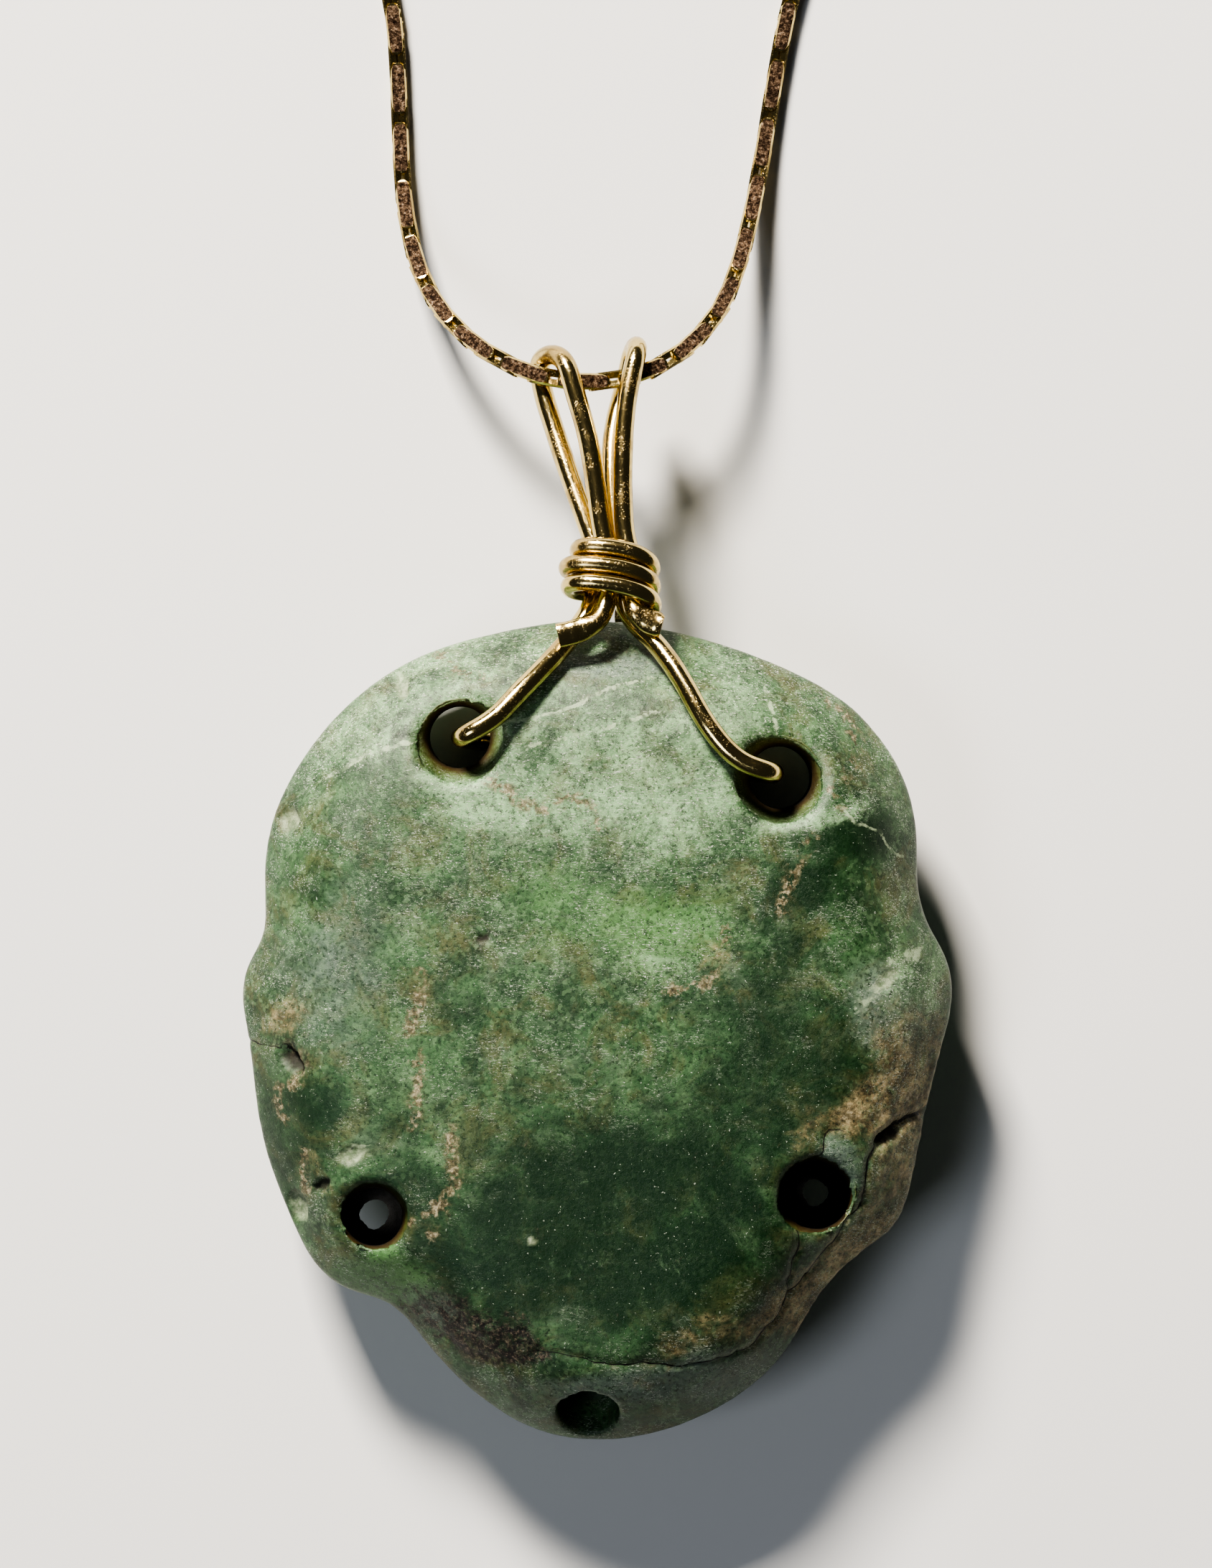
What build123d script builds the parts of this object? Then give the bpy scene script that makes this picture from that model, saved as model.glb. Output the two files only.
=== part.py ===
from build123d import *
import os
from math import cos, hypot, radians, sin, tan

# Mask, in millimetres. X is across the mask, Y runs from chin to forehead, Z is up, away from the surface it lies on.
mask_width = 32.3
mask_height = 37.2
mask_thickness = 10.0
back_crown = 0.9
rim_round_width = 4.6
rim_round_power = 2.2
back_rim_drop = 3.0
front_rim_drop = 2.2
face_recess = 2.3

# Holes through the mask
upper_bore_radius = 1.37
upper_mouth_radius = 1.78
upper_mouth_depth = 1.1
lower_left_radius = 1.26
lower_right_radius = 1.45
lower_exit_radius = 0.45
lower_bore_length = 5.4
lower_taper = 1.6
chin_hole_radius = 1.39
chin_hole_depth = 5.0
chin_hole_slant = 48.0
chin_hole_inset = 1.1

# Bail wire and the wire wrapped round it
wire_diameter = 0.92
wrap_diameter = 0.80
wire_gap = 0.04
wire_bend_radius = 0.80
bail_length = 10.5
bail_droop = 14.0
bail_below_back = 2.25
wrap_across = 0.80
wrap_beyond_mask = 1.85
wrap_spacing = 0.06
wrap_slope = 0.20
bar_clearance = 0.075
wrap_end_across = 0.30

# Chain and clasp
chain_width = 0.78
saddle_share = 0.862
saddle_drop = 0.074
clasp_length = 9.0
clasp_diameter = 2.6
clasp_edge = 0.25
clasp_neck_length = 1.5
clasp_neck_diameter = 1.7
clasp_socket_depth = 1.1
clasp_from_bail = 157.7
clasp_lead = 3.76

# How finely the stone's smooth faces are drawn, how far they reach past its outline, and how far a cut passes its end
surface_grid = 1.2
surface_margin = 2.5
surface_tolerance = 0.05
outline_samples = 400
outline_stretches = 8
past = 1.0
cap_skirt = 0.2

half_width = mask_width / 2
half_height = mask_height / 2
wire_radius = wire_diameter / 2
wrap_radius = wrap_diameter / 2
chain_radius = chain_width / 2
clasp_radius = clasp_diameter / 2
chain_end = clasp_length / 2 - clasp_socket_depth + wire_gap
bail_height = mask_thickness - bail_below_back
wrap_up = half_height + wrap_beyond_mask
wrap_pitch = wrap_diameter + wrap_spacing
headdress_level = wire_diameter + wire_gap + bar_clearance

# Outline of the mask, clockwise from the top, as shares of its half width and half height: (across, up)
OUTLINE = [
    (0.035, 1.000),
    (0.280, 0.962),
    (0.543, 0.880),
    (0.729, 0.780),
    (0.848, 0.641),
    (0.898, 0.486),
    (0.902, 0.350),
    (0.928, 0.264),
    (0.975, 0.190),
    (1.000, 0.085),
    (0.974, -0.036),
    (0.928, -0.203),
    (0.892, -0.350),
    (0.838, -0.475),
    (0.729, -0.557),
    (0.637, -0.640),
    (0.537, -0.776),
    (0.412, -0.882),
    (0.232, -0.965),
    (0.049, -1.000),
    (-0.145, -0.984),
    (-0.320, -0.903),
    (-0.500, -0.747),
    (-0.590, -0.668),
    (-0.725, -0.623),
    (-0.790, -0.575),
    (-0.855, -0.476),
    (-0.922, -0.333),
    (-0.966, -0.151),
    (-0.984, -0.019),
    (-1.000, 0.095),
    (-0.982, 0.165),
    (-0.945, 0.230),
    (-0.939, 0.342),
    (-0.922, 0.497),
    (-0.836, 0.658),
    (-0.691, 0.807),
    (-0.493, 0.917),
    (-0.228, 0.983),
]

# The carved face underneath. Places and sizes are shares of the mask's half width and half height, and rise is a share
# of the face's recess, so that a rise of 1 reaches the plane that the mask lies on.
# Long ridges with round ends: (part, across, up, half_length, half_breadth, rise, tilt in degrees, on both sides)
RIDGES = [
    ("headband", 0.00, 0.430, 0.72, 0.105, 1.00, 0.0, False),
    ("brow", 0.33, 0.225, 0.26, 0.085, 0.50, -8.0, True),
    ("upper_lip", 0.00, -0.500, 0.29, 0.065, 0.55, 0.0, False),
    ("lower_lip", 0.00, -0.625, 0.24, 0.072, 0.65, 0.0, False),
]
# Round swellings: (part, across, up, half_breadth as a share of the half width, rise, on both sides)
SWELLINGS = [
    ("cheek", 0.42, -0.250, 0.21, 0.35, True),
    ("chin", 0.00, -0.815, 0.30, 1.10, False),
]
# Eyes, as shares in the same way: (across, up, half_breadth, depth of the socket, rise of the ball from its floor)
EYE = (0.34, 0.035, 0.20, 0.40, 0.75)
socket_breadth = 1.25
# Ear ornaments, round flat-topped discs: (across, up, half_breadth, rise)
EAR_DISC = (0.79, -0.060, 0.140, 0.55)
ear_disc_top = 0.8
# Headdress, a flat panel over the forehead: (up at its lower edge, its outline as a share of the mask's)
HEADDRESS = (0.500, 0.955)
# Nose, from the bridge down to the wings, on the plane that it reaches and at its foot: (up, half_top, half_foot)
NOSE = [
    (0.250, 0.030, 0.085),
    (0.000, 0.045, 0.110),
    (-0.200, 0.085, 0.170),
    (-0.300, 0.110, 0.225),
    (-0.365, 0.060, 0.160),
]

# Centres of the holes, as shares of the mask's half width and half height: (across, up)
UPPER_LEFT_HOLE = (-0.388, 0.715)
UPPER_RIGHT_HOLE = (0.512, 0.617)
LOWER_LEFT_HOLE = (-0.628, -0.451)
LOWER_RIGHT_HOLE = (0.610, -0.399)
CHIN_HOLE = (-0.027, -0.940)

# The bail's strands, measured from the middle of the wrap: (across in wire diameters, along as a share of the bail's
# length, side of the bail's own drooping axis, spread, bend). spread is 0 where a strand lies against that axis, and
# about 1 where it lies against the chain. bend is a largest bend radius, or 0 for a bend as large as its runs allow.
LEFT_LOOP = [
    (-0.43, -0.105, 1, 0.00, 0),
    (-0.30, -0.014, 1, 0.00, 0),
    (-0.30, 0.090, 1, 0.00, 0),
    (-0.70, 0.214, 1, 0.10, 0),
    (-0.96, 0.405, 1, 0.51, 0),
    (-1.35, 0.614, 1, 0.97, 0),
    (-1.93, 0.786, 1, 1.29, 0),
    (-2.55, 0.973, 1, 1.33, 1.12),
    (-3.86, 0.967, -1, 1.45, 1.12),
    (-3.61, 0.814, -1, 1.45, 0),
    (-2.92, 0.624, -1, 1.22, 0),
    (-2.28, 0.452, -1, 0.75, 0),
    (-1.63, 0.290, -1, 0.28, 0),
    (-0.84, 0.100, -1, 0.00, 0),
    (-0.82, -0.014, -1, 0.00, 0),
    (-1.20, -0.129, -1, 0.00, 0),
]
RIGHT_LOOP = [
    (0.43, -0.129, -1, 0.00, 0),
    (0.25, -0.014, -1, 0.00, 0),
    (0.24, 0.100, -1, 0.00, 0),
    (-0.11, 0.300, -1, 0.28, 0),
    (-0.24, 0.462, -1, 0.67, 0),
    (-0.13, 0.643, -1, 1.15, 0),
    (0.43, 0.833, -1, 1.45, 0),
    (0.89, 1.005, -1, 1.45, 1),
    (1.14, 1.010, 1, 1.45, 1),
    (0.61, 0.814, 1, 1.33, 0),
    (0.37, 0.605, 1, 0.97, 0),
    (0.33, 0.395, 1, 0.46, 0),
    (0.39, 0.214, 1, 0.10, 0),
    (0.76, 0.090, 1, 0.00, 0),
    (0.76, -0.014, 1, 0.00, 0),
    (0.78, -0.100, 1, 0.00, 0),
]
# The legs on the mask's back and the cut ends that curl over them: (across and up as shares of the mask's half width
# and half height, height of the wire's underside over the mask's back in wire diameters, bend)
LEFT_CUT_END = [(-0.111, 0.958, 1.69, 0), (-0.053, 0.969, 1.82, 0), (0.003, 0.992, 2.21, 0)]
LEFT_LEG = [
    (-0.056, 0.978, 0.77, 0),
    (-0.099, 0.930, 0.30, 0),
    (-0.162, 0.871, 0.22, 0),
    (-0.228, 0.813, 0.24, 0),
    (-0.285, 0.758, 0.20, 0),
    (-0.381, 0.712, 0.15, 0.8),
]
RIGHT_LEG = [
    (0.490, 0.626, 0.14, 0.8),
    (0.386, 0.656, 0.09, 0),
    (0.300, 0.744, 0.20, 0),
    (0.233, 0.859, 0.36, 0),
    (0.161, 0.944, 0.82, 0),
    (0.111, 0.981, 1.13, 0),
]
RIGHT_CUT_END = [(0.110, 1.000, 2.85, 0), (0.180, 0.983, 2.79, 0)]

# The wrap's turns from the top: how far each one's inner side reaches to the left and to the right, in wire diameters
WRAP_TURNS = [(1.44, 1.37), (1.98, 1.39), (1.87, 1.44)]

# The chain's few chosen points between its leads out of the clasp: down the left side, through the bail, up the right
# side. Across and along are from the saddle where it lies in the bail, and raised is a share of the saddle's height.
CHAIN_ROUTE = [
    (-12.40, 156.60, 0.054),
    (-19.00, 153.90, 0.000),
    (-29.60, 147.30, 0.000),
    (-40.20, 136.30, 0.000),
    (-48.20, 121.90, 0.000),
    (-51.70, 105.70, 0.000),
    (-50.40, 89.10, 0.000),
    (-44.40, 73.30, 0.000),
    (-35.00, 56.10, 0.000),
    (-25.00, 43.90, 0.000),
    (-17.00, 33.30, 0.000),
    (-12.20, 24.40, 0.000),
    (-10.15, 17.90, 0.000),
    (-9.90, 12.90, 0.000),
    (-9.80, 9.20, 0.032),
    (-9.40, 6.40, 0.201),
    (-8.60, 4.10, 0.449),
    (-7.15, 2.20, 0.708),
    (-5.20, 0.80, 0.907),
    (-3.10, 0.00, 0.992),
    (-1.00, -0.18, 1.000),
    (1.10, 0.12, 0.992),
    (3.15, 1.25, 0.897),
    (4.80, 3.10, 0.688),
    (5.68, 5.40, 0.419),
    (6.25, 7.80, 0.171),
    (6.75, 10.40, 0.026),
    (7.25, 13.70, 0.000),
    (8.15, 18.50, 0.000),
    (10.40, 24.70, 0.000),
    (15.70, 33.50, 0.000),
    (24.40, 43.90, 0.000),
    (35.00, 55.90, 0.000),
    (44.20, 72.90, 0.000),
    (50.00, 88.70, 0.000),
    (50.80, 105.70, 0.000),
    (47.00, 122.10, 0.000),
    (38.70, 136.50, 0.000),
    (28.00, 147.50, 0.000),
    (17.50, 154.00, 0.000),
    (10.80, 156.60, 0.054),
]


def on_mask(share):
    """A place on the mask, from its shares of the half width and half height."""
    return (share[0] * half_width, share[1] * half_height)


def bent_path(points, largest=None, share=0.45):
    """Straight runs joined by tangent arcs, each as large as its two runs allow, or no larger than its own limit."""
    radii = []
    for i, (before, at, after) in enumerate(zip(points, points[1:], points[2:]), start=1):
        turn = (at - before).get_angle(after - at)
        shorter = min((at - before).length, (after - at).length)
        radius = share * shorter / tan(radians(turn) / 2)
        if largest and largest[i]:
            radius = min(radius, largest[i])
        radii.append(radius)
    return FilletPolyline(*points, radius=radii), radii


def tube(path, radius):
    """A round wire along a path."""
    return sweep(Plane(origin=path @ 0, z_dir=path % 0) * Circle(radius), path=path)


# The mask's outline in a few stretches, and how far a place lies inside it
outline = Spline(*[on_mask(share) for share in OUTLINE], periodic=True)
cuts = [i / outline_stretches for i in range(outline_stretches + 1)]
outline_face = Face(Wire([outline.trim(start, end) for start, end in zip(cuts, cuts[1:])]))
rim = [outline @ (i / outline_samples) for i in range(outline_samples)]


def inset(x, y):
    """Distance from the outline, positive inside it."""
    nearest = min(hypot(x - point.X, y - point.Y) for point in rim)
    inside = False
    for a, b in zip(rim, rim[1:] + rim[:1]):
        if (a.Y > y) != (b.Y > y) and x < a.X + (y - a.Y) / (b.Y - a.Y) * (b.X - a.X):
            inside = not inside
    return nearest if inside else -nearest


def rim_roll(depth):
    """How far the rim has rolled off, from 0 inside to 1 at the outline, and evenly on outside it."""
    if depth < 0:
        return 1 - rim_round_power * depth / rim_round_width
    return max(0.0, 1 - depth / rim_round_width) ** rim_round_power


def back_height(x, y, depth):
    """Height of the back, depth inside the outline."""
    dome = (x / half_width) ** 2 + (y / half_height) ** 2
    return mask_thickness - back_crown * dome - back_rim_drop * rim_roll(depth)


def front_height(depth):
    """Height of the face's ground, depth inside the outline."""
    return face_recess + front_rim_drop * rim_roll(depth)


def grid_line(half_length):
    """Evenly spaced places from one side to the other."""
    reach = half_length + surface_margin
    count = round(2 * reach / surface_grid)
    return [-reach + 2 * reach * i / count for i in range(count + 1)]


def evened(rows):
    """The grid's rows, with each inner height averaged with the eight round it."""
    heights = [[point.Z for point in row] for row in rows]
    for j, row in enumerate(rows[1:-1], start=1):
        for i, point in enumerate(row[1:-1], start=1):
            beside = heights[j][i - 1] + heights[j][i + 1] + heights[j - 1][i] + heights[j + 1][i]
            corners = sum(heights[j + up][i + across] for up in (-1, 1) for across in (-1, 1))
            row[i] = Vector(point.X, point.Y, (4 * heights[j][i] + 2 * beside + corners) / 16)
    return rows


def stone_surfaces():
    """The mask's back and front, each one smooth face over a grid."""
    back_rows = []
    front_rows = []
    for y in grid_line(half_height):
        depths = [(x, inset(x, y)) for x in grid_line(half_width)]
        back_rows.append([Vector(x, y, back_height(x, y, depth)) for x, depth in depths])
        front_rows.append([Vector(x, y, front_height(depth)) for x, depth in depths])
    fit = {"tol": surface_tolerance, "smoothing": (1.0, 1.0, 1.0), "max_deg": 5}
    return [Face.make_surface_from_array_of_points(evened(rows), **fit) for rows in (back_rows, front_rows)]


def drilled(profile):
    """A drilled hole's space about the Z axis, from its (radius, height) profile."""
    closed = [(0, profile[0][1]), *profile, (0, profile[-1][1])]
    return revolve(Plane.XZ * make_face(Polyline(*closed, close=True)), Axis.Z)


def upper_hole(place):
    """A hole right through, with a funnel mouth on the back."""
    x, y = on_mask(place)
    surface = back_height(x, y, rim_round_width)
    slope = (upper_mouth_radius - upper_bore_radius) / upper_mouth_depth
    profile = [
        (upper_bore_radius, -past),
        (upper_bore_radius, surface - upper_mouth_depth),
        (upper_mouth_radius + slope * past, surface + past),
    ]
    return Pos(x, y, 0) * drilled(profile)


def lower_hole(place, radius):
    """A hole drilled from the back, narrowing to a small one on the face side."""
    x, y = on_mask(place)
    floor = back_height(x, y, rim_round_width) - lower_bore_length
    profile = [
        (lower_exit_radius, -past),
        (lower_exit_radius, floor - lower_taper),
        (radius, floor),
        (radius, mask_thickness + past),
    ]
    return Pos(x, y, 0) * drilled(profile)


def chin_hole():
    """A blind hole that slants from the rolled rim of the chin up into the stone."""
    x, y = on_mask(CHIN_HOLE)
    slant = radians(chin_hole_slant)
    mouth = Vector(x, y, back_height(x, y, chin_hole_inset))
    inward = Vector(0, sin(slant), -cos(slant))
    outside = 3 * chin_hole_radius
    tip_radius = 0.3 * chin_hole_radius
    tip_length = 0.6 * chin_hole_radius
    profile = [
        (chin_hole_radius, -outside),
        (chin_hole_radius, chin_hole_depth),
        (tip_radius, chin_hole_depth + tip_length),
    ]
    return Plane(origin=mouth, x_dir=(1, 0, 0), z_dir=inward) * drilled(profile)


def sides(on_both):
    """The sides on which a carved part stands: one in the middle, or left and right."""
    return (-1, 1) if on_both else (1,)


def cap_radius(half_breadth, rise):
    """Radius of the ball whose cap is rise high over a circle of half_breadth."""
    return (half_breadth**2 + rise**2) / (2 * rise)


def cap(place, half_breadth, rise, level):
    """A round swelling that stands rise proud of a level of the face, with a little of the ball behind that level."""
    radius = cap_radius(half_breadth, rise)
    x, y = on_mask(place)
    column = Pos(x, y, level) * Cylinder(half_breadth + cap_skirt, 2 * (rise + cap_skirt))
    return (Pos(x, y, level - rise + radius) * Sphere(radius)) & column


def socket_cutter(place, half_breadth, depth):
    """A round hollow sunk into the face, depth deep in the middle."""
    radius = cap_radius(half_breadth, depth)
    x, y = on_mask(place)
    column = Pos(x, y, face_recess) * Cylinder(half_breadth + cap_skirt, 2 * (depth + past))
    return (Pos(x, y, face_recess + depth - radius) * Sphere(radius)) & column


def ridge(across, up, half_length, half_breadth, rise, tilt, side):
    """A long round-ended ridge that stands proud of the face."""
    breadth = half_breadth * half_height
    proud = rise * face_recess
    radius = cap_radius(breadth, proud)
    reach = half_length * half_width - breadth
    x, y = on_mask((side * across, up))
    place = Pos(x, y, face_recess - proud + radius) * Rot(0, 0, side * tilt)
    bar = place * Rot(0, 90, 0) * Cylinder(radius, 2 * reach)
    return [bar, place * Pos(-reach, 0, 0) * Sphere(radius), place * Pos(reach, 0, 0) * Sphere(radius)]


def nose():
    """The nose, narrow where it touches the resting plane and broad at its foot."""
    levels = []
    for level, column in ((0.0, 1), (face_recess + past, 2)):
        right = [(row[column] * half_width, row[0] * half_height) for row in NOSE]
        left = [(-x, y) for x, y in reversed(right)]
        levels.append(Plane(origin=(0, 0, level)) * make_face(Polyline(*right, *left, close=True)))
    return loft(levels)


def headdress():
    """The panel over the forehead, which stands just clear of the resting plane by the wire that crosses it."""
    up, share = HEADDRESS
    above = Pos(0, up * half_height + mask_height, 0) * Rectangle(2 * mask_width, 2 * mask_height)
    panel = scale(outline_face, share) & above
    return Pos(0, 0, headdress_level) * extrude(panel, amount=mask_thickness / 2, dir=(0, 0, 1))


def ear_disc(side):
    """A round ear ornament."""
    across, up, half_breadth, rise = EAR_DISC
    x, y = on_mask((side * across, up))
    radius = half_breadth * half_width
    height = rise * face_recess + past
    return Pos(x, y, face_recess + past - height / 2) * Cone(ear_disc_top * radius, radius, height)


def carve_face(stone):
    """The stone with its face carved: raised parts first, then the eyes in their sockets."""
    carved = stone + nose() + headdress()
    for part, across, up, half_length, half_breadth, rise, tilt, on_both in RIDGES:
        for side in sides(on_both):
            carved += ridge(across, up, half_length, half_breadth, rise, tilt, side)
    for part, across, up, half_breadth, rise, on_both in SWELLINGS:
        for side in sides(on_both):
            carved += cap((side * across, up), half_breadth * half_width, rise * face_recess, face_recess)
    across, up, half_breadth, depth, ball = EYE
    sunk = depth * face_recess
    for side in sides(True):
        carved += ear_disc(side)
        place = (side * across, up)
        carved -= socket_cutter(place, socket_breadth * half_breadth * half_width, sunk)
        carved += cap(place, half_breadth * half_width, ball * face_recess, face_recess + sunk)
    return carved & extrude(outline_face, amount=mask_thickness + past, dir=(0, 0, 1))


def make_mask():
    """The stone between its two smooth faces, carved and drilled."""
    back, front = stone_surfaces()
    slab = Pos(0, 0, -past) * extrude(outline_face, amount=mask_thickness + 2 * past, dir=(0, 0, 1))
    stone = slab - extrude(back, amount=mask_thickness, dir=(0, 0, 1))
    stone -= extrude(front, amount=mask_thickness, dir=(0, 0, -1))
    carved = carve_face(stone)
    carved -= upper_hole(UPPER_LEFT_HOLE)
    carved -= upper_hole(UPPER_RIGHT_HOLE)
    carved -= lower_hole(LOWER_LEFT_HOLE, lower_left_radius)
    carved -= lower_hole(LOWER_RIGHT_HOLE, lower_right_radius)
    return carved - chin_hole()


def in_bail(across, along, lift):
    """A place on the bail, from where it lies seen from above and its lift over the bail's drooping axis."""
    droop = radians(bail_droop)
    down_axis = (along - lift * sin(droop)) / cos(droop)
    return Vector(wrap_across + across, wrap_up + along, bail_height - down_axis * sin(droop) + lift * cos(droop))


def on_back(across, up, over):
    """A place for the wire on or over the mask's back."""
    x, y = on_mask((across, up))
    return Vector(x, y, back_height(x, y, inset(x, y)) + wire_radius + over * wire_diameter)


def loop_rows(rows):
    """Places and largest bends of a loop's strands."""
    made = []
    for across, along, side, spread, bend in rows:
        lift = side * (wire_radius + spread * (chain_radius + wire_gap))
        made.append((in_bail(across * wire_diameter, along * bail_length, lift), bend))
    return made


def leg_rows(rows):
    """Places and largest bends of a leg or a cut end."""
    return [(on_back(*row[:3]), row[3]) for row in rows]


def bar_corner(row):
    """A corner of the hidden bar across the face side, below the place where a leg goes into its hole."""
    x, y = on_mask(row[:2])
    return (Vector(x, y, headdress_level - wire_gap - wire_radius), row[3])


def make_bail():
    """One wire: cut end, left loop, left leg, bar across the face side, right leg, right loop, cut end."""
    rows = leg_rows(LEFT_CUT_END) + loop_rows(LEFT_LOOP) + leg_rows(LEFT_LEG)
    rows += [bar_corner(LEFT_LEG[-1]), bar_corner(RIGHT_LEG[0])]
    rows += leg_rows(RIGHT_LEG) + loop_rows(RIGHT_LOOP) + leg_rows(RIGHT_CUT_END)
    path, radii = bent_path([place for place, bend in rows], [bend for place, bend in rows], 0.46)
    wire = tube(path, wire_radius)
    print(f"bail wire: {path.length:.1f} mm, smallest bend {min(radii):.2f} mm,",
          f"volume {wire.volume / (path.length * Circle(wire_radius).area):.4f} of section times length")
    return wire


def make_wrap():
    """The wrap's turns round the four strands, started and ended at the back."""
    lift = wire_diameter + wire_gap + wrap_radius
    middle = (len(WRAP_TURNS) - 1) / 2
    corners = []
    for turn, (left, right) in enumerate(WRAP_TURNS):
        along = (middle - turn) * wrap_pitch
        left_reach = left * wire_diameter + wrap_radius
        right_reach = right * wire_diameter + wrap_radius
        corners.append((-left_reach, along + wrap_slope, -lift))
        corners.append((-left_reach, along + wrap_slope, lift))
        corners.append((right_reach, along - wrap_slope, lift))
        corners.append((right_reach, along - wrap_slope, -lift))
    start = (wrap_end_across, corners[0][1] + wrap_slope / 2, -lift)
    end = (-wrap_end_across, corners[-1][1] - wrap_slope / 2, -lift)
    axis = Plane(
        origin=(wrap_across, wrap_up, bail_height),
        x_dir=(1, 0, 0),
        z_dir=(0, sin(radians(bail_droop)), cos(radians(bail_droop))),
    )
    points = [axis.from_local_coords(Vector(*corner)) for corner in [start, *corners, end]]
    path = bent_path(points, [wire_bend_radius] * len(points))[0]
    return tube(path, wrap_radius)


# Where the chain lies in the bail, and the middle of the clasp
saddle = in_bail(0, saddle_share * bail_length, 0) - Vector(0, 0, saddle_drop)
clasp_middle = Vector(0, saddle.Y + clasp_from_bail, clasp_radius)


def make_chain():
    """The chain as one tube: a whole loop from one end of the clasp to the other."""
    reaches = (-chain_end, -chain_end - clasp_lead, chain_end + clasp_lead, chain_end)
    leads = [clasp_middle + Vector(reach, 0, 0) for reach in reaches]
    route = [Vector(saddle.X + across, saddle.Y + along, chain_radius + raised * (saddle.Z - chain_radius))
             for across, along, raised in CHAIN_ROUTE]
    path, radii = bent_path([*leads[:2], *route, *leads[2:]])
    chain = tube(path, chain_radius)
    print(f"chain: {path.length:.1f} mm, radii", " ".join(f"{radius:.1f}" for radius in radii))
    print(f"chain volume {chain.volume / (path.length * Circle(chain_radius).area):.4f} of section times length")
    return chain


def make_clasp():
    """A plain barrel with a neck at each end, into which the chain's ends go."""
    barrel_length = clasp_length - 2 * clasp_neck_length
    barrel = chamfer(Cylinder(clasp_radius, barrel_length).edges(), clasp_edge)
    body = barrel + Cylinder(clasp_neck_diameter / 2, clasp_length)
    socket = Cylinder(chain_radius + wire_gap, clasp_socket_depth)
    reach = (clasp_length - clasp_socket_depth) / 2
    body = body - Pos(0, 0, reach) * socket - Pos(0, 0, -reach) * socket
    return Pos(clasp_middle) * Rot(0, 90, 0) * body


pieces = {
    "jade_mask": make_mask(),
    "bail_wire": make_bail(),
    "wrap_wire": make_wrap(),
    "chain": make_chain(),
    "clasp": make_clasp(),
}

# The origin is in the middle of the whole, on the surface that it lies on
boxes = [piece.bounding_box() for piece in pieces.values()]
left, right = min(box.min.X for box in boxes), max(box.max.X for box in boxes)
near, far = min(box.min.Y for box in boxes), max(box.max.Y for box in boxes)
lowest = min(box.min.Z for box in boxes)
home = Pos(-(left + right) / 2, -(near + far) / 2, -lowest)
print("the mask's centre in the frame:", home.position)

os.makedirs("parts", exist_ok=True)
for node, piece in pieces.items():
    print(node, type(piece).__name__, len(piece.solids()), piece.volume)
    export_step(home * piece, f"parts/{node}.step")
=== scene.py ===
"""Builds the looks of a jade mask pendant over its fixed frame: stone, wires, chain, clasp and stage."""

import math
from functools import partial

import bpy
import numpy as np
from bpy.props import FloatProperty, FloatVectorProperty, PointerProperty
from bpy.types import Operator, Panel, PropertyGroup
from mathutils import Matrix, Vector, noise


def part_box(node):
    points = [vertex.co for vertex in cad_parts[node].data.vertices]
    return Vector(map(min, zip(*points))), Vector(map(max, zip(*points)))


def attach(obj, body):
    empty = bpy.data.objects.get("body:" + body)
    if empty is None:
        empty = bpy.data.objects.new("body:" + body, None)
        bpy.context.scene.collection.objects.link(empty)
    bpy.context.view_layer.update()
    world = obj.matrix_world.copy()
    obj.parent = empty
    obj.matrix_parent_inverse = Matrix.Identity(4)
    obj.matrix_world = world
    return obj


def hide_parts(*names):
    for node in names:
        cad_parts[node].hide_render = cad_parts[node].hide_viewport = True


bl_info = {
    "name": "Jade mask pendant",
    "version": (1, 0, 0),
    "blender": (4, 5, 0),
    "location": "3D View > Sidebar > Jade pendant",
    "description": "Builds a jade mask pendant's stone, wires, chain and clasp over its fixed frame",
    "category": "Add Mesh",
}

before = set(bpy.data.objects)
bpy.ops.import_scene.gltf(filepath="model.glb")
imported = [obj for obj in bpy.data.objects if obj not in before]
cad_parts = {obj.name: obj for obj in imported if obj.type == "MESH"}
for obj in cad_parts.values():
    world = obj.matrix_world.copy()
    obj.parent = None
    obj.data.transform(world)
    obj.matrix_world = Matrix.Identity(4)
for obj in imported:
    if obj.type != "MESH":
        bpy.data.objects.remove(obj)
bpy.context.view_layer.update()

MM = 0.001
mask_low, mask_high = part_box("jade_mask")
mask_middle = (mask_low + mask_high) / 2
mask_top = mask_high.z / MM

# The bail's own line, in millimetres from the middle of the mask
wrap_across = 0.80
wrap_up = 20.45
bail_height = 7.75
bail_droop = math.radians(14.0)

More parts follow.
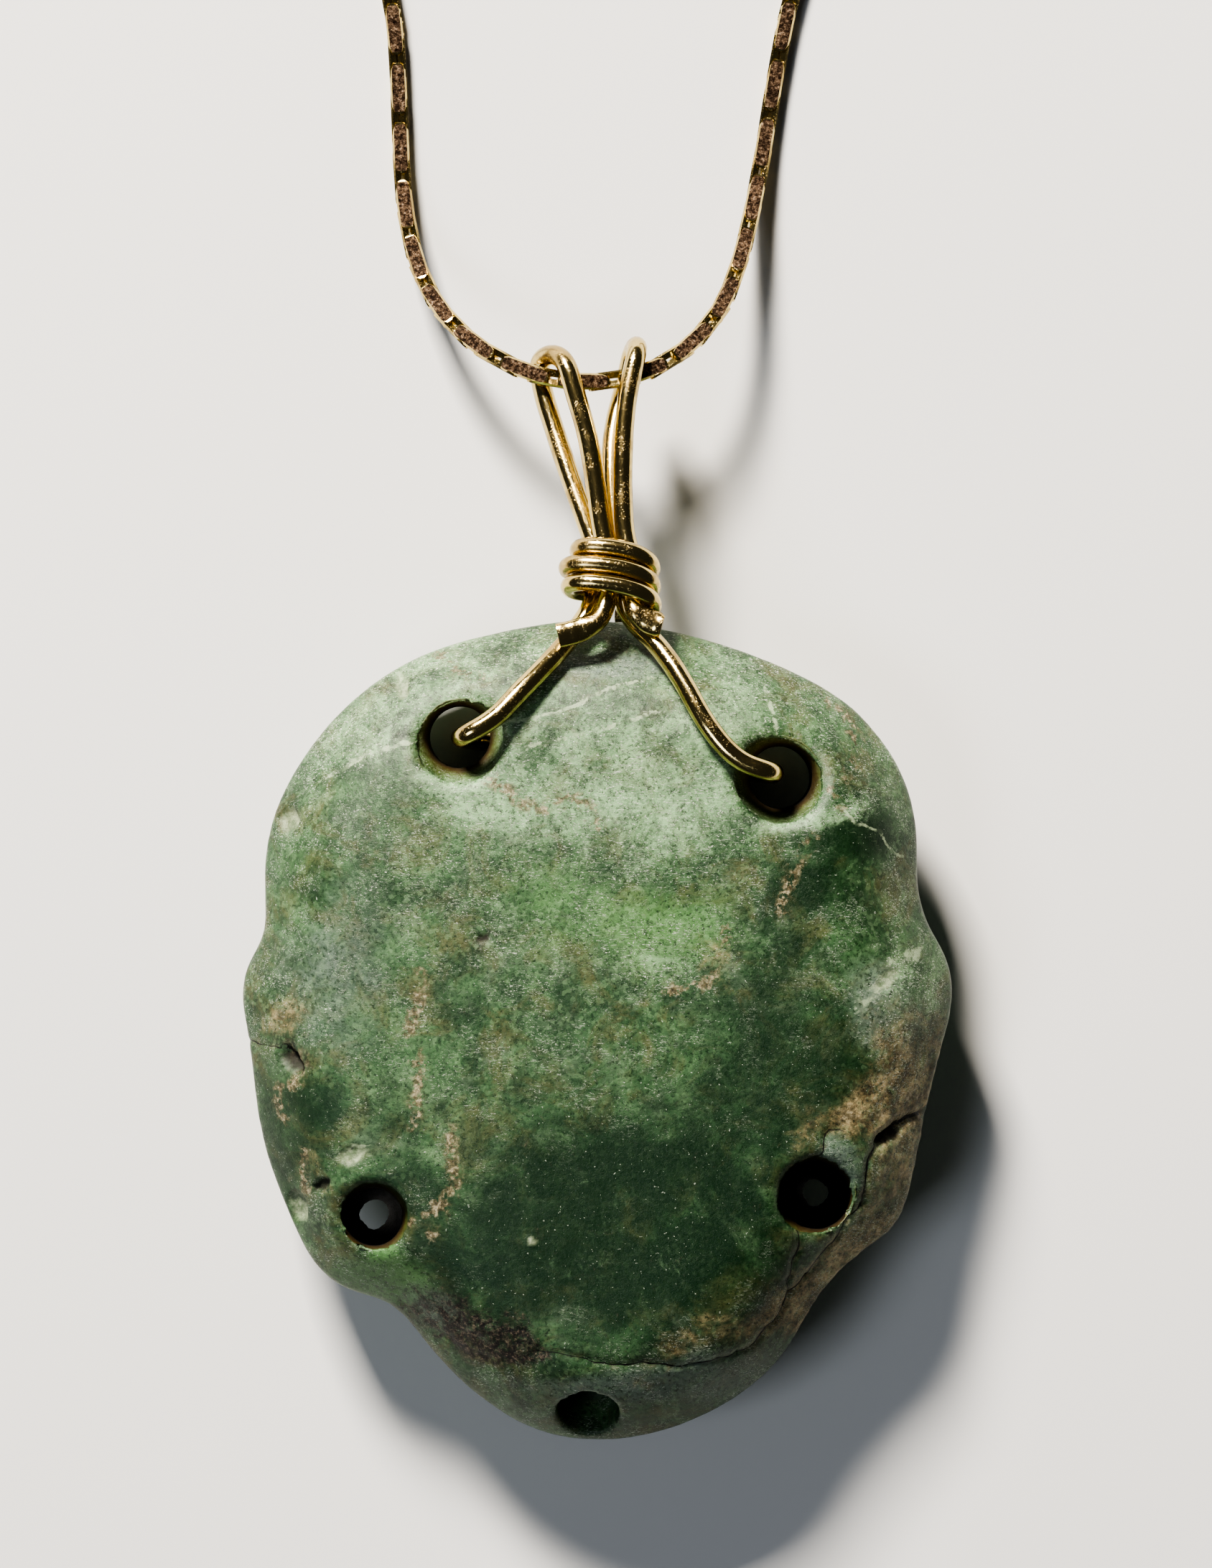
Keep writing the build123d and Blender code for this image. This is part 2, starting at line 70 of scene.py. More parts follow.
# The bail's strands: (across, up, lift over the bail's drooping axis)
LEFT_LOOP = [
    (0.40, 19.35, 0.46),
    (0.52, 20.30, 0.46),
    (0.52, 21.40, 0.46),
    (0.16, 22.70, 0.50),
    (-0.08, 24.70, 0.68),
    (-0.44, 26.90, 0.88),
    (-0.98, 28.70, 1.01),
    (-1.55, 30.67, 1.03),
    (-2.75, 30.60, -1.08),
    (-2.52, 29.00, -1.08),
    (-1.89, 27.00, -0.98),
    (-1.30, 25.20, -0.78),
    (-0.70, 23.50, -0.58),
    (0.03, 21.50, -0.46),
    (0.05, 20.30, -0.46),
    (-0.30, 19.10, -0.46),
]
RIGHT_LOOP = [
    (1.20, 19.10, -0.46),
    (1.03, 20.30, -0.46),
    (1.02, 21.50, -0.46),
    (0.70, 23.60, -0.58),
    (0.58, 25.30, -0.75),
    (0.68, 27.20, -0.95),
    (1.20, 29.20, -1.08),
    (1.62, 31.00, -1.08),
    (1.85, 31.05, 1.08),
    (1.36, 29.00, 1.03),
    (1.14, 26.80, 0.88),
    (1.10, 24.60, 0.66),
    (1.16, 22.70, 0.50),
    (1.50, 21.40, 0.46),
    (1.50, 20.30, 0.46),
    (1.52, 19.40, 0.46),
]
# The legs down the mask's back into its holes, the bar across its face side and the cut ends:
# (across, up, height)
LEFT_CUT_END = [(-1.80, 17.82, 9.15), (-0.85, 18.02, 9.12), (0.05, 18.45, 8.88)]
LEFT_LEG = [
    (-0.90, 18.20, 7.92),
    (-1.60, 17.30, 8.50),
    (-2.62, 16.20, 9.26),
    (-3.69, 15.13, 9.78),
    (-4.60, 14.10, 10.00),
    (-6.15, 13.25, 10.00),
    (-6.15, 13.25, 8.20),
]
FACE_BAR = [
    (-6.15, 13.25, 3.40),
    (-6.15, 13.25, 0.535),
    (-4.60, 13.07, 0.535),
    (6.40, 11.82, 0.535),
    (7.92, 11.65, 0.535),
    (7.92, 11.65, 3.40),
]
RIGHT_LEG = [
    (7.92, 11.65, 8.20),
    (7.92, 11.65, 10.02),
    (6.24, 12.20, 10.02),
    (4.85, 13.84, 10.00),
    (3.76, 15.97, 9.26),
    (2.60, 17.55, 8.36),
    (1.80, 18.25, 7.92),
]
RIGHT_CUT_END = [(1.78, 18.60, 8.90), (2.90, 18.28, 8.95)]

# The wrap's turns from the top: (reach to the left, reach to the right) of its centre line
WRAP_TURNS = [(1.72, 1.66), (2.22, 1.68), (2.12, 1.72)]

# The chain's saddle in the bail and half the chain's width, in the same millimetres
saddle_across = 0.80
saddle_up = 29.50
saddle_height = 5.42
chain_radius = 0.39
# The chain's route from its saddle: (across, along, share of the saddle's height)
CHAIN_ROUTE = [
    (-4.26, 157.70, 0.181),
    (-8.00, 157.70, 0.181),
    (-12.40, 156.60, 0.054),
    (-19.00, 153.90, 0.000),
    (-29.60, 147.30, 0.000),
    (-40.20, 136.30, 0.000),
    (-48.20, 121.90, 0.000),
    (-51.70, 105.70, 0.000),
    (-50.40, 89.10, 0.000),
    (-44.40, 73.30, 0.000),
    (-35.00, 56.10, 0.000),
    (-25.00, 43.90, 0.000),
    (-17.00, 33.30, 0.000),
    (-12.20, 24.40, 0.000),
    (-10.15, 17.90, 0.000),
    (-9.90, 12.90, 0.000),
    (-9.80, 9.20, 0.032),
    (-9.40, 6.40, 0.201),
    (-8.60, 4.10, 0.449),
    (-7.15, 2.20, 0.708),
    (-5.20, 0.80, 0.907),
    (-3.10, 0.00, 0.992),
    (-1.00, -0.18, 1.000),
    (1.10, 0.12, 0.992),
    (3.15, 1.25, 0.897),
    (4.80, 3.10, 0.688),
    (5.68, 5.40, 0.419),
    (6.25, 7.80, 0.171),
    (6.75, 10.40, 0.026),
    (7.25, 13.70, 0.000),
    (8.15, 18.50, 0.000),
    (10.40, 24.70, 0.000),
    (15.70, 33.50, 0.000),
    (24.40, 43.90, 0.000),
    (35.00, 55.90, 0.000),
    (44.20, 72.90, 0.000),
    (50.00, 88.70, 0.000),
    (50.80, 105.70, 0.000),
    (47.00, 122.10, 0.000),
    (38.70, 136.50, 0.000),
    (28.00, 147.50, 0.000),
    (17.50, 154.00, 0.000),
    (10.80, 156.60, 0.054),
    (6.40, 157.70, 0.181),
    (2.66, 157.70, 0.181),
]

# The stone's marks, in millimetres from the middle of the mask. Cracks: (half width, depth, places along it)
CRACKS = [
    (0.13, 0.34, [(15.6, -3.6), (14.95, -3.78), (13.83, -4.15), (13.40, -4.53), (12.87, -4.96)]),
    (0.045, 0.12, [
        (12.87, -4.96), (12.65, -5.39), (12.33, -5.92), (12.17, -6.56), (12.17, -7.31), (11.96, -7.85),
    ]),
    (0.035, 0.08, [
        (11.96, -7.85), (11.37, -8.43), (10.94, -9.28), (10.40, -9.93), (9.87, -10.57), (9.44, -11.21),
    ]),
    (0.035, 0.09, [
        (9.44, -11.21), (8.80, -11.85), (8.27, -12.92), (7.63, -13.67), (7.09, -14.20), (6.23, -14.58),
    ]),
    (0.036, 0.09, [
        (6.23, -14.58), (5.16, -14.90), (3.88, -15.12), (2.38, -14.95), (0.50, -15.03), (-0.59, -14.69),
    ]),
    (0.032, 0.08, [(-0.59, -14.69), (-1.66, -14.53), (-2.94, -14.48)]),
    (0.045, 0.13, [(10.94, -4.42), (10.51, -4.42), (10.25, -4.69), (10.14, -5.39), (9.87, -5.90)]),
    (0.035, 0.08, [(9.12, -8.80), (9.07, -9.71), (8.80, -10.57), (8.64, -11.43), (8.80, -11.85)]),
    (0.11, 0.26, [(-14.07, -0.80), (-13.75, -1.15), (-13.43, -1.64)]),
    (0.04, 0.10, [(-15.78, -0.50), (-14.93, -0.68), (-14.07, -0.80)]),
]
# Pale veins: (half width, places along it)
PALE_VEINS = [
    (0.07, [(-8.51, 13.08), (-10.1, 12.65), (-11.3, 12.05), (-12.36, 11.48)]),
    (0.06, [(-4.60, 13.90), (-2.84, 14.15), (-1.13, 14.63), (0.24, 15.44), (2.38, 15.97)]),
    (0.07, [(-3.60, 12.60), (-2.95, 12.87), (-1.60, 13.20), (0.16, 13.62), (2.60, 14.44)]),
    (0.08, [(7.63, 15.44), (7.95, 14.37), (8.05, 13.72)]),
    (0.20, [(14.69, 3.60), (13.30, 3.10), (13.08, 2.75), (12.70, 2.05), (12.0, 1.45), (11.80, 1.14)]),
    (0.05, [(10.94, 10.09), (11.80, 9.34), (12.76, 9.02), (13.40, 8.05), (14.15, 7.84)]),
    (0.07, [(-11.75, -5.35), (-11.30, -5.05), (-10.90, -5.20), (-10.55, -5.15)]),
]
# Rusty veins: (half width, places along it)
RUST_VEINS = [
    (0.24, [
        (-8.03, 2.60), (-7.97, 1.68), (-8.29, 0.71), (-8.51, -0.36),
        (-8.13, -1.0), (-7.97, -1.64), (-8.24, -4.2),
    ]),
    (0.22, [(-6.63, -4.58), (-6.58, -5.65), (-6.36, -6.83), (-6.79, -7.57), (-7.17, -8.32), (-7.44, -9.07)]),
    (0.09, [(-8.61, -8.64), (-7.01, -7.68)]),
    (0.20, [(-13.43, -2.17), (-14.39, -2.71), (-14.44, -3.14), (-14.18, -3.89)]),
    (0.15, [(-13.20, -5.60), (-13.35, -6.20), (-13.25, -7.10)]),
    (0.17, [
        (-4.98, 11.37), (-4.12, 10.94), (-3.16, 10.19), (-2.30, 10.09),
        (-1.13, 10.62), (-0.48, 10.09), (-0.1, 9.2),
    ]),
    (0.15, [(10.51, 15.01), (11.58, 13.94), (11.80, 12.76), (11.48, 11.80), (10.51, 10.94), (10.94, 10.09)]),
    (0.22, [(9.66, 8.69), (9.10, 7.80), (8.59, 6.98), (8.30, 5.48)]),
    (0.13, [(5.80, 4.60), (5.40, 3.30), (5.00, 2.20), (3.20, 1.80)]),
    (0.26, [(14.6, -2.9), (13.5, -3.3), (12.4, -3.9), (11.4, -3.7), (10.5, -3.9)]),
    (0.10, [(-7.6, 17.2), (-6.4, 16.4), (-5.2, 16.0)]),
]
# Shallow chips with a pale floor: (across, up, half_across, half_up, turn in degrees, depth)
CHIPS = [
    (-8.94, 15.75, 0.36, 0.62, 8.0, 0.22),
    (-14.05, 9.60, 0.48, 0.52, -20.0, 0.24),
    (-13.62, -8.00, 0.42, 0.66, 12.0, 0.25),
    (-11.10, -5.60, 0.70, 0.40, 12.0, 0.16),
    (13.10, 2.35, 0.75, 0.30, 42.0, 0.08),
    (-2.95, -9.35, 0.14, 0.12, 0.0, -0.10),
]
# Dark pits: (across, up, half_across, half_up, turn in degrees, depth)
PITS = [
    (-13.95, -1.35, 0.62, 0.34, -38.0, 0.32),
    (-12.50, -6.95, 0.42, 0.26, 40.0, 0.22),
    (13.25, -4.75, 0.65, 0.26, 28.0, 0.30),
    (-5.20, 4.30, 0.35, 0.20, 20.0, 0.10),
]
# Zones of colour, by kind: (across, up, half_across, half_up, turn in degrees, strength)
ZONES = {
    "pale": [
        (-8.0, 16.2, 7.5, 3.2, 26.0, 0.75),
        (-3.2, 12.6, 4.2, 3.0, 10.0, 0.55),
        (3.4, 12.3, 4.0, 3.8, -10.0, 0.85),
        (7.4, 16.0, 5.0, 2.4, -24.0, 0.30),
        (-4.6, 10.2, 3.4, 1.6, -10.0, 0.65),
        (0.5, 9.0, 4.6, 1.8, 4.0, 0.45),
        (10.8, 10.2, 1.6, 1.0, 10.0, 0.50),
        (-4.6, 5.0, 1.4, 2.6, 0.0, 0.40),
        (-9.8, 7.6, 3.4, 1.6, 14.0, 0.35),
        (3.0, -15.9, 4.5, 0.9, 6.0, 0.10),
        (1.5, 3.2, 4.0, 1.6, 0.0, 0.30),
        # The next two are the upper holes' lower rims: frosted chips together with a painted highlight where
        # the rims face the light
        (-5.8, 11.1, 2.5, 0.6, -6.0, 1.00),
        (9.2, 9.6, 2.2, 0.6, 16.0, 1.00),
        (-10.1, -10.0, 1.5, 0.4, 0.0, 0.50),
        (11.0, -8.6, 1.5, 0.8, 30.0, 0.60),
        (14.2, 2.0, 1.8, 1.8, 20.0, 0.60),
    ],
    "deep": [
        # The wide zones low on the stone, here and at (0.6, -4.0) and (7.4, -3.4), darken its lower half: the
        # stone's own dark green together with painted shade
        (-1.4, -10.0, 8.5, 5.2, 4.0, 0.85),
        (5.4, -10.2, 4.0, 4.4, 10.0, 0.30),
        (-10.6, -3.8, 4.0, 3.4, 0.0, 0.45),
        (-12.0, 4.4, 4.0, 4.4, 12.0, 0.42),
        (-6.3, 2.0, 0.8, 2.6, -8.0, 0.42),
        (11.6, 8.7, 1.7, 1.1, 6.0, 1.00),
        (9.4, 6.6, 1.5, 0.9, 20.0, 0.70),
        (9.4, 2.6, 3.6, 6.0, 0.0, 0.55),
        (-10.0, 12.0, 2.4, 0.7, 20.0, 0.55),
        (-14.2, -4.6, 2.0, 4.0, 0.0, 0.60),
        (0.6, -4.0, 9.0, 7.0, 0.0, 0.42),
        (7.4, -3.4, 4.4, 4.6, 0.0, 0.38),
        (-3.5, 6.2, 1.6, 1.0, 0.0, 0.50),
        (3.4, 6.6, 1.6, 0.9, 0.0, 0.40),
    ],
    "bright": [
        (-0.5, 5.4, 6.0, 2.6, -6.0, 0.60),
        (4.2, 4.8, 3.4, 2.0, 0.0, 0.35),
        (-9.8, -11.2, 2.6, 1.3, -14.0, 1.00),
        (-9.8, 0.4, 2.8, 2.0, 0.0, 0.35),
        (-13.6, 6.2, 1.4, 3.4, 10.0, 0.40),
    ],
    "brown": [
        (14.6, -1.6, 2.6, 3.4, 0.0, 0.80),
        (12.6, -3.4, 3.0, 1.0, 12.0, 1.00),
        (13.6, -7.4, 2.0, 3.6, -16.0, 0.80),
        (11.2, -9.6, 1.8, 1.5, 30.0, 0.75),
        (9.4, -12.2, 2.0, 1.6, 45.0, 1.00),
        (5.6, -13.7, 3.6, 1.0, 16.0, 0.60),
        (9.3, -5.6, 0.9, 1.8, 10.0, 0.55),
        (12.4, 12.2, 1.2, 2.0, 10.0, 0.40),
        (-14.4, 0.6, 1.6, 1.2, 0.0, 0.60),
        (-12.8, -6.6, 1.1, 1.2, 0.0, 0.40),
        (-4.0, 14.8, 1.4, 0.7, 20.0, 0.30),
        (5.2, 3.3, 1.2, 1.8, 20.0, 0.35),
        (1.0, -16.0, 6.0, 0.5, 4.0, 0.35),
    ],
    "grey": [
        (2.2, -15.9, 6.5, 1.1, 6.0, 0.80),
        (-12.0, 2.4, 3.4, 4.6, 0.0, 0.50),
        (13.0, 1.0, 2.2, 2.4, 20.0, 0.75),
        (11.2, -6.0, 1.1, 1.6, 0.0, 0.90),
        (-7.2, -12.6, 2.0, 1.2, -36.0, 0.60),
        (0.4, 16.6, 2.4, 0.9, 6.0, 1.00),
        (-0.5, -13.4, 4.5, 0.7, 0.0, 0.20),
    ],
    "soot_and_wrap_shadow": [
        (-6.2, -13.2, 3.1, 1.5, -24.0, 1.00),
        (-4.3, -14.3, 1.9, 0.7, -10.0, 0.80),
        (-13.6, -1.0, 1.0, 0.55, -20.0, 0.60),
        # Painted shadow of the wrap on the top rim between the legs
        (0.9, 17.2, 1.3, 0.7, 6.0, 0.55),
    ],
}
# The holes: (across, up, radius at the mouth)
HOLES = [(-6.27, 13.30, 1.78), (8.27, 11.48, 1.78), (-10.14, -8.39, 1.26), (9.85, -7.42, 1.45)]
# Lines cut into the carved face, on its right half: (half width, depth, places along it)
FACE_LINES = [
    (0.22, 0.26, [(2.2, 0.5), (3.2, 1.9), (5.2, 2.5), (7.3, 2.0), (8.8, 0.8)]),
    (0.20, 0.22, [(2.6, 0.0), (4.0, -1.2), (6.0, -1.5), (8.0, -0.5)]),
    (0.24, 0.40, [(0.0, -10.4), (2.4, -10.45), (4.3, -10.15)]),
    (0.20, 0.25, [(2.6, -7.0), (4.4, -8.2), (5.6, -9.8)]),
    (0.24, 0.30, [(0.0, 6.55), (6.0, 6.45), (10.6, 6.0)]),
    (0.24, 0.30, [(0.0, 9.55), (6.0, 9.5), (12.4, 9.3)]),
    (0.22, 0.25, [(3.4, 10.3), (3.7, 13.2), (3.9, 15.6)]),
    (0.22, 0.25, [(7.4, 10.2), (7.9, 12.2), (8.2, 14.2)]),
]
# Nostrils: (across, up, half_across, half_up, depth)
NOSTRILS = [(1.15, -6.20, 0.55, 0.34, 0.35)]


class StoneSettings(PropertyGroup):
    """Sizes of the stone's finish."""

    voxel: FloatProperty(
        name="Mesh size", description="Edge length of the stone's mesh", default=0.195 * MM, unit="LENGTH"
    )
    unevenness: FloatProperty(
        name="Unevenness", description="Height of the hand-ground waves", default=0.05 * MM, unit="LENGTH"
    )


class WireSettings(PropertyGroup):
    """Sizes of the two wires."""

    bail_diameter: FloatProperty(
        name="Bail wire", description="Thickness of the bail's wire", default=0.92 * MM, unit="LENGTH"
    )
    wrap_diameter: FloatProperty(
        name="Wrap wire", description="Thickness of the wrap's wire", default=0.80 * MM, unit="LENGTH"
    )


class ChainSettings(PropertyGroup):
    """Sizes of the chain's links."""

    link_pitch: FloatProperty(
        name="Pitch", description="Distance from one link to the next", default=1.37 * MM, unit="LENGTH"
    )


class StageSettings(PropertyGroup):
    """The camera's place and the floor's colour."""

    camera_distance: FloatProperty(
        name="Camera", description="Height of the camera over the stone's back", default=0.45, unit="LENGTH"
    )
    view_height: FloatProperty(
        name="View", description="Height of the view at the stone's back", default=70.45 * MM, unit="LENGTH"
    )
    floor_colour: FloatVectorProperty(
        name="Floor", description="Colour of the floor", subtype="COLOR", default=(0.74, 0.745, 0.74)
    )


def place(across, up, height):
    """A place in metres, from millimetres measured from the middle of the mask and up from the surface."""
    return Vector((mask_middle.x + across * MM, mask_middle.y + up * MM, height * MM))


def in_bail(across, up, lift):
    """A place on the bail, from where it lies seen from above and its lift over the bail's drooping axis."""
    along = (up - wrap_up - lift * math.sin(bail_droop)) / math.cos(bail_droop)
    return place(across, up, bail_height - along * math.sin(bail_droop) + lift * math.cos(bail_droop))


def in_mm(length):
    """A setting's length in millimetres, without the small error that it is stored with."""
    return round(length / MM, 6)


def smooth_step(values):
    """An even rise from 0 to 1."""
    share = np.clip(values, 0.0, 1.0)
    return share * share * (3 - 2 * share)


# Making and finishing meshes


def deselect():
    """Leaves nothing selected."""
    bpy.ops.object.select_all(action="DESELECT")


def pick(piece):
    """Selects one piece alone and makes it active."""
    deselect()
    piece.hide_set(False)
    piece.select_set(True)
    bpy.context.view_layer.objects.active = piece


def outwards(piece):
    """Turns every face of a closed piece outwards."""
    pick(piece)
    bpy.ops.object.mode_set(mode="EDIT")
    bpy.ops.mesh.select_all(action="SELECT")
    bpy.ops.mesh.normals_make_consistent(inside=False)
    bpy.ops.object.mode_set(mode="OBJECT")


def apply_modifier(piece, kind, **options):
    """Adds one modifier and applies it."""
    pick(piece)
    modifier = piece.modifiers.new(kind.title(), kind)
    for name, value in options.items():
        setattr(modifier, name, value)
    bpy.ops.object.modifier_apply(modifier=modifier.name)


def finish_piece(piece, name, materials, node):
    """Names a piece, gives it its materials and fastens it to the frame."""
    piece.name = name
    piece.data.name = name
    # Clearing the materials sets every face back to the first one, so the faces' own are written again
    slots = [face.material_index for face in piece.data.polygons]
    piece.data.materials.clear()
    for material in materials:
        piece.data.materials.append(material)
    piece.data.polygons.foreach_set("material_index", slots)
    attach(piece, "root")
    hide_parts(node)
    deselect()


def read_vectors(items, name):
    """One vector of each item as an array."""
    values = np.empty(len(items) * 3, np.float32)
    items.foreach_get(name, values)
    return values.reshape(-1, 3).astype(float)


def vertex_places(mesh):
    """The mesh's corners as an array."""
    return read_vectors(mesh.vertices, "co")


def vertex_normals(mesh):
    """The mesh's corner normals as an array."""
    return read_vectors(mesh.vertex_normals, "vector")


def set_places(mesh, places):
    """Writes the corners back."""
    mesh.vertices.foreach_set("co", np.asarray(places, np.float32).ravel())
    mesh.update()


def set_attribute(mesh, name, values):
    """Stores one number for each corner."""
    attribute = mesh.attributes.new(name, "FLOAT", "POINT")
    attribute.data.foreach_set("value", np.asarray(values, np.float32))


def waves(places, scale, seed):
    """Smooth noise from about -1 to 1 at each place, scale waves to a unit."""
    shift = Vector((seed * 17.3, seed * 5.1, seed * 9.7))
    return np.array([noise.noise(Vector(place) * scale + shift) for place in places])


# Colours and materials


def colour(hex_code):
    """A linear colour from its sRGB hex code."""
    parts = [int(hex_code[i : i + 2], 16) / 255 for i in (1, 3, 5)]
    linear = [part / 12.92 if part <= 0.04045 else ((part + 0.055) / 1.055) ** 2.4 for part in parts]
    return (*linear, 1.0)


def add_node(tree, kind, *values, output=0, stops=(), **named):
    """Adds one node and gives one of its outputs.

    The values go to its first inputs, a name with a capital is an input and any other name a setting.
    """
    node = tree.nodes.new("ShaderNode" + kind)
    inputs = dict(enumerate(values))
    for name, value in named.items():
        if name[0].isupper():
            inputs[name] = value
        else:
            setattr(node, name, value)
    for socket, value in inputs.items():
        if isinstance(value, bpy.types.NodeSocket):
            tree.links.new(value, node.inputs[socket])
        else:
            node.inputs[socket].default_value = colour(value) if isinstance(value, str) else value
    if stops:
        elements = node.color_ramp.elements
        while len(elements) < len(stops):
            elements.new(1.0)
        for element, (position, hue) in zip(elements, stops):
            element.position = position
            element.color = colour(hue)
    return node.outputs[output]


# The settings of a map range that eases in and out. Its values are: (value, from, from, to, to)
EASED = {"interpolation_type": "SMOOTHSTEP"}


def new_material(name):
    """A material, what adds a node to it, and its places in millimetres from the middle of the mask."""
    material = bpy.data.materials.new(name)
    material.use_nodes = True
    add = partial(add_node, material.node_tree)
    middle = (-mask_middle.x / MM, -mask_middle.y / MM, 0)
    place_mm = add("Mapping", add("TexCoord", output="Object"), middle, Scale=(1 / MM,) * 3)
    return material, add, place_mm


def finish_material(material, add, hue, rough, height, strength, relief, metallic=0.0):
    """Gives the material's shader its colour, its roughness and its relief in millimetres."""
    normal = add("Bump", Height=height, Strength=strength, Distance=relief * MM)
    shader = material.node_tree.nodes["Principled BSDF"]
    for socket, value in (("Base Color", hue), ("Roughness", rough), ("Normal", normal)):
        material.node_tree.links.new(value, shader.inputs[socket])
    shader.inputs["Metallic"].default_value = metallic
    return material


def polished_brass():
    """Gold-plated brass wire, drawn and polished: a bright gloss, with dull patches and specks of wear."""
    name = "worn_gold_plated_brass_wire"
    if name in bpy.data.materials:
        return bpy.data.materials[name]
    material, add, place_mm = new_material(name)
    patch = add("TexNoise", Vector=place_mm, Scale=0.60, Detail=4.0, Roughness=0.65)
    patch = add("MapRange", patch, 0.48, 0.62, **EASED)
    # The specks are coarser than real ones of a few hundredths of a millimetre, which wouldn't show
    grit = add("TexNoise", Vector=place_mm, Scale=11.0, Detail=3.0, Roughness=0.8)
    grit = add("MapRange", grit, 0.58, 0.67, **EASED)
    grit = add("Math", grit, add("MapRange", patch, 0.0, 1.0, 0.25, 1.0, **EASED), operation="MULTIPLY")
    hue = add("MixRGB", patch, "#dcc78c", "#bfa873")
    hue = add("MixRGB", add("Math", grit, 0.6, operation="MULTIPLY"), hue, "#8f7f66")
    gloss = add("MapRange", patch, 0.0, 1.0, 0.15, 0.24, **EASED)
    rough = add("Math", grit, 0.40, gloss, operation="MULTIPLY_ADD")
    height = add("Math", grit, -0.7, add("Math", patch, 0.1, operation="MULTIPLY"), operation="MULTIPLY_ADD")
    return finish_material(material, add, hue, rough, height, strength=0.35, relief=0.02, metallic=1.0)


def filed_facet():
    """The chain's filed flats: rolled gold worn to a dull coppery grey, covered in short scratches."""
    material, add, place_mm = new_material("worn_filed_gold_flats")
    blotch = add("TexNoise", Vector=place_mm, Scale=5.5, Detail=6.0, Roughness=0.82)
    stops = [(0.36, "#15100d"), (0.47, "#3b2f26"), (0.57, "#77624f"), (0.68, "#cdb89e")]
    hue = add("ValToRGB", blotch, stops=stops)
    # The scratches are a few hundredths of a millimetre wide, which is coarser than a real file's
    slanted = add("Mapping", place_mm, Rotation=(0, 0, math.radians(32)), Scale=(2.0, 9.0, 4.0))
    scratch = add("TexNoise", Vector=slanted, Scale=3.0, Detail=4.0, Roughness=0.8)
    rough = add("MapRange", scratch, 0.38, 0.62, 0.34, 0.62, **EASED)
    height = add("Math", blotch, 0.8, scratch, operation="MULTIPLY_ADD")
    return finish_material(material, add, hue, rough, height, strength=0.8, relief=0.05, metallic=1.0)


def patchy_zone(add, place_mm, kind, scale, breakup, weight=1.0):
    """A zone's share, with its edge broken up by the stone's grain."""
    grain = add("TexNoise", Vector=place_mm, Scale=scale, Detail=6.0, Roughness=0.72, Distortion=0.6)
    loose = add("Math", grain, breakup, -0.5 * breakup, operation="MULTIPLY_ADD")
    zone = add("Attribute", output="Fac", attribute_name="zone_" + kind)
    share = add("Math", zone, weight, loose, operation="MULTIPLY_ADD")
    return add("MapRange", share, 0.18, 0.95, **EASED)


def thin_line(add, place_mm, kind, scale, fray, gaps):
    """The share of a line along a crack or a vein: a core that the grain frays into specks and breaks."""
    across = add("Attribute", output="Fac", attribute_name=kind + "_across")
    across = add("Math", across, operation="ABSOLUTE")
    core = add("MapRange", across, 0.3, 1.0 + 2.4 * fray, 1.0, 0.0, **EASED)
    grain = add("TexNoise", Vector=place_mm, Scale=scale, Detail=3.0, Roughness=0.75)
    grain = add("Math", grain, 0.5, operation="SUBTRACT")
    loose = add("Math", grain, 3.2 * fray, core, operation="MULTIPLY_ADD")
    there = add("TexNoise", Vector=place_mm, Scale=1.3, Detail=2.0, Roughness=0.7)
    there = add("MapRange", there, 0.42, 0.56, 1.0 - gaps, 1.0, **EASED)
    share = add("Math", add("MapRange", loose, 0.50, 0.85, **EASED), there, operation="MULTIPLY")
    near = add("Attribute", output="Fac", attribute_name=kind + "_near")
    return add("Math", share, near, operation="MULTIPLY")


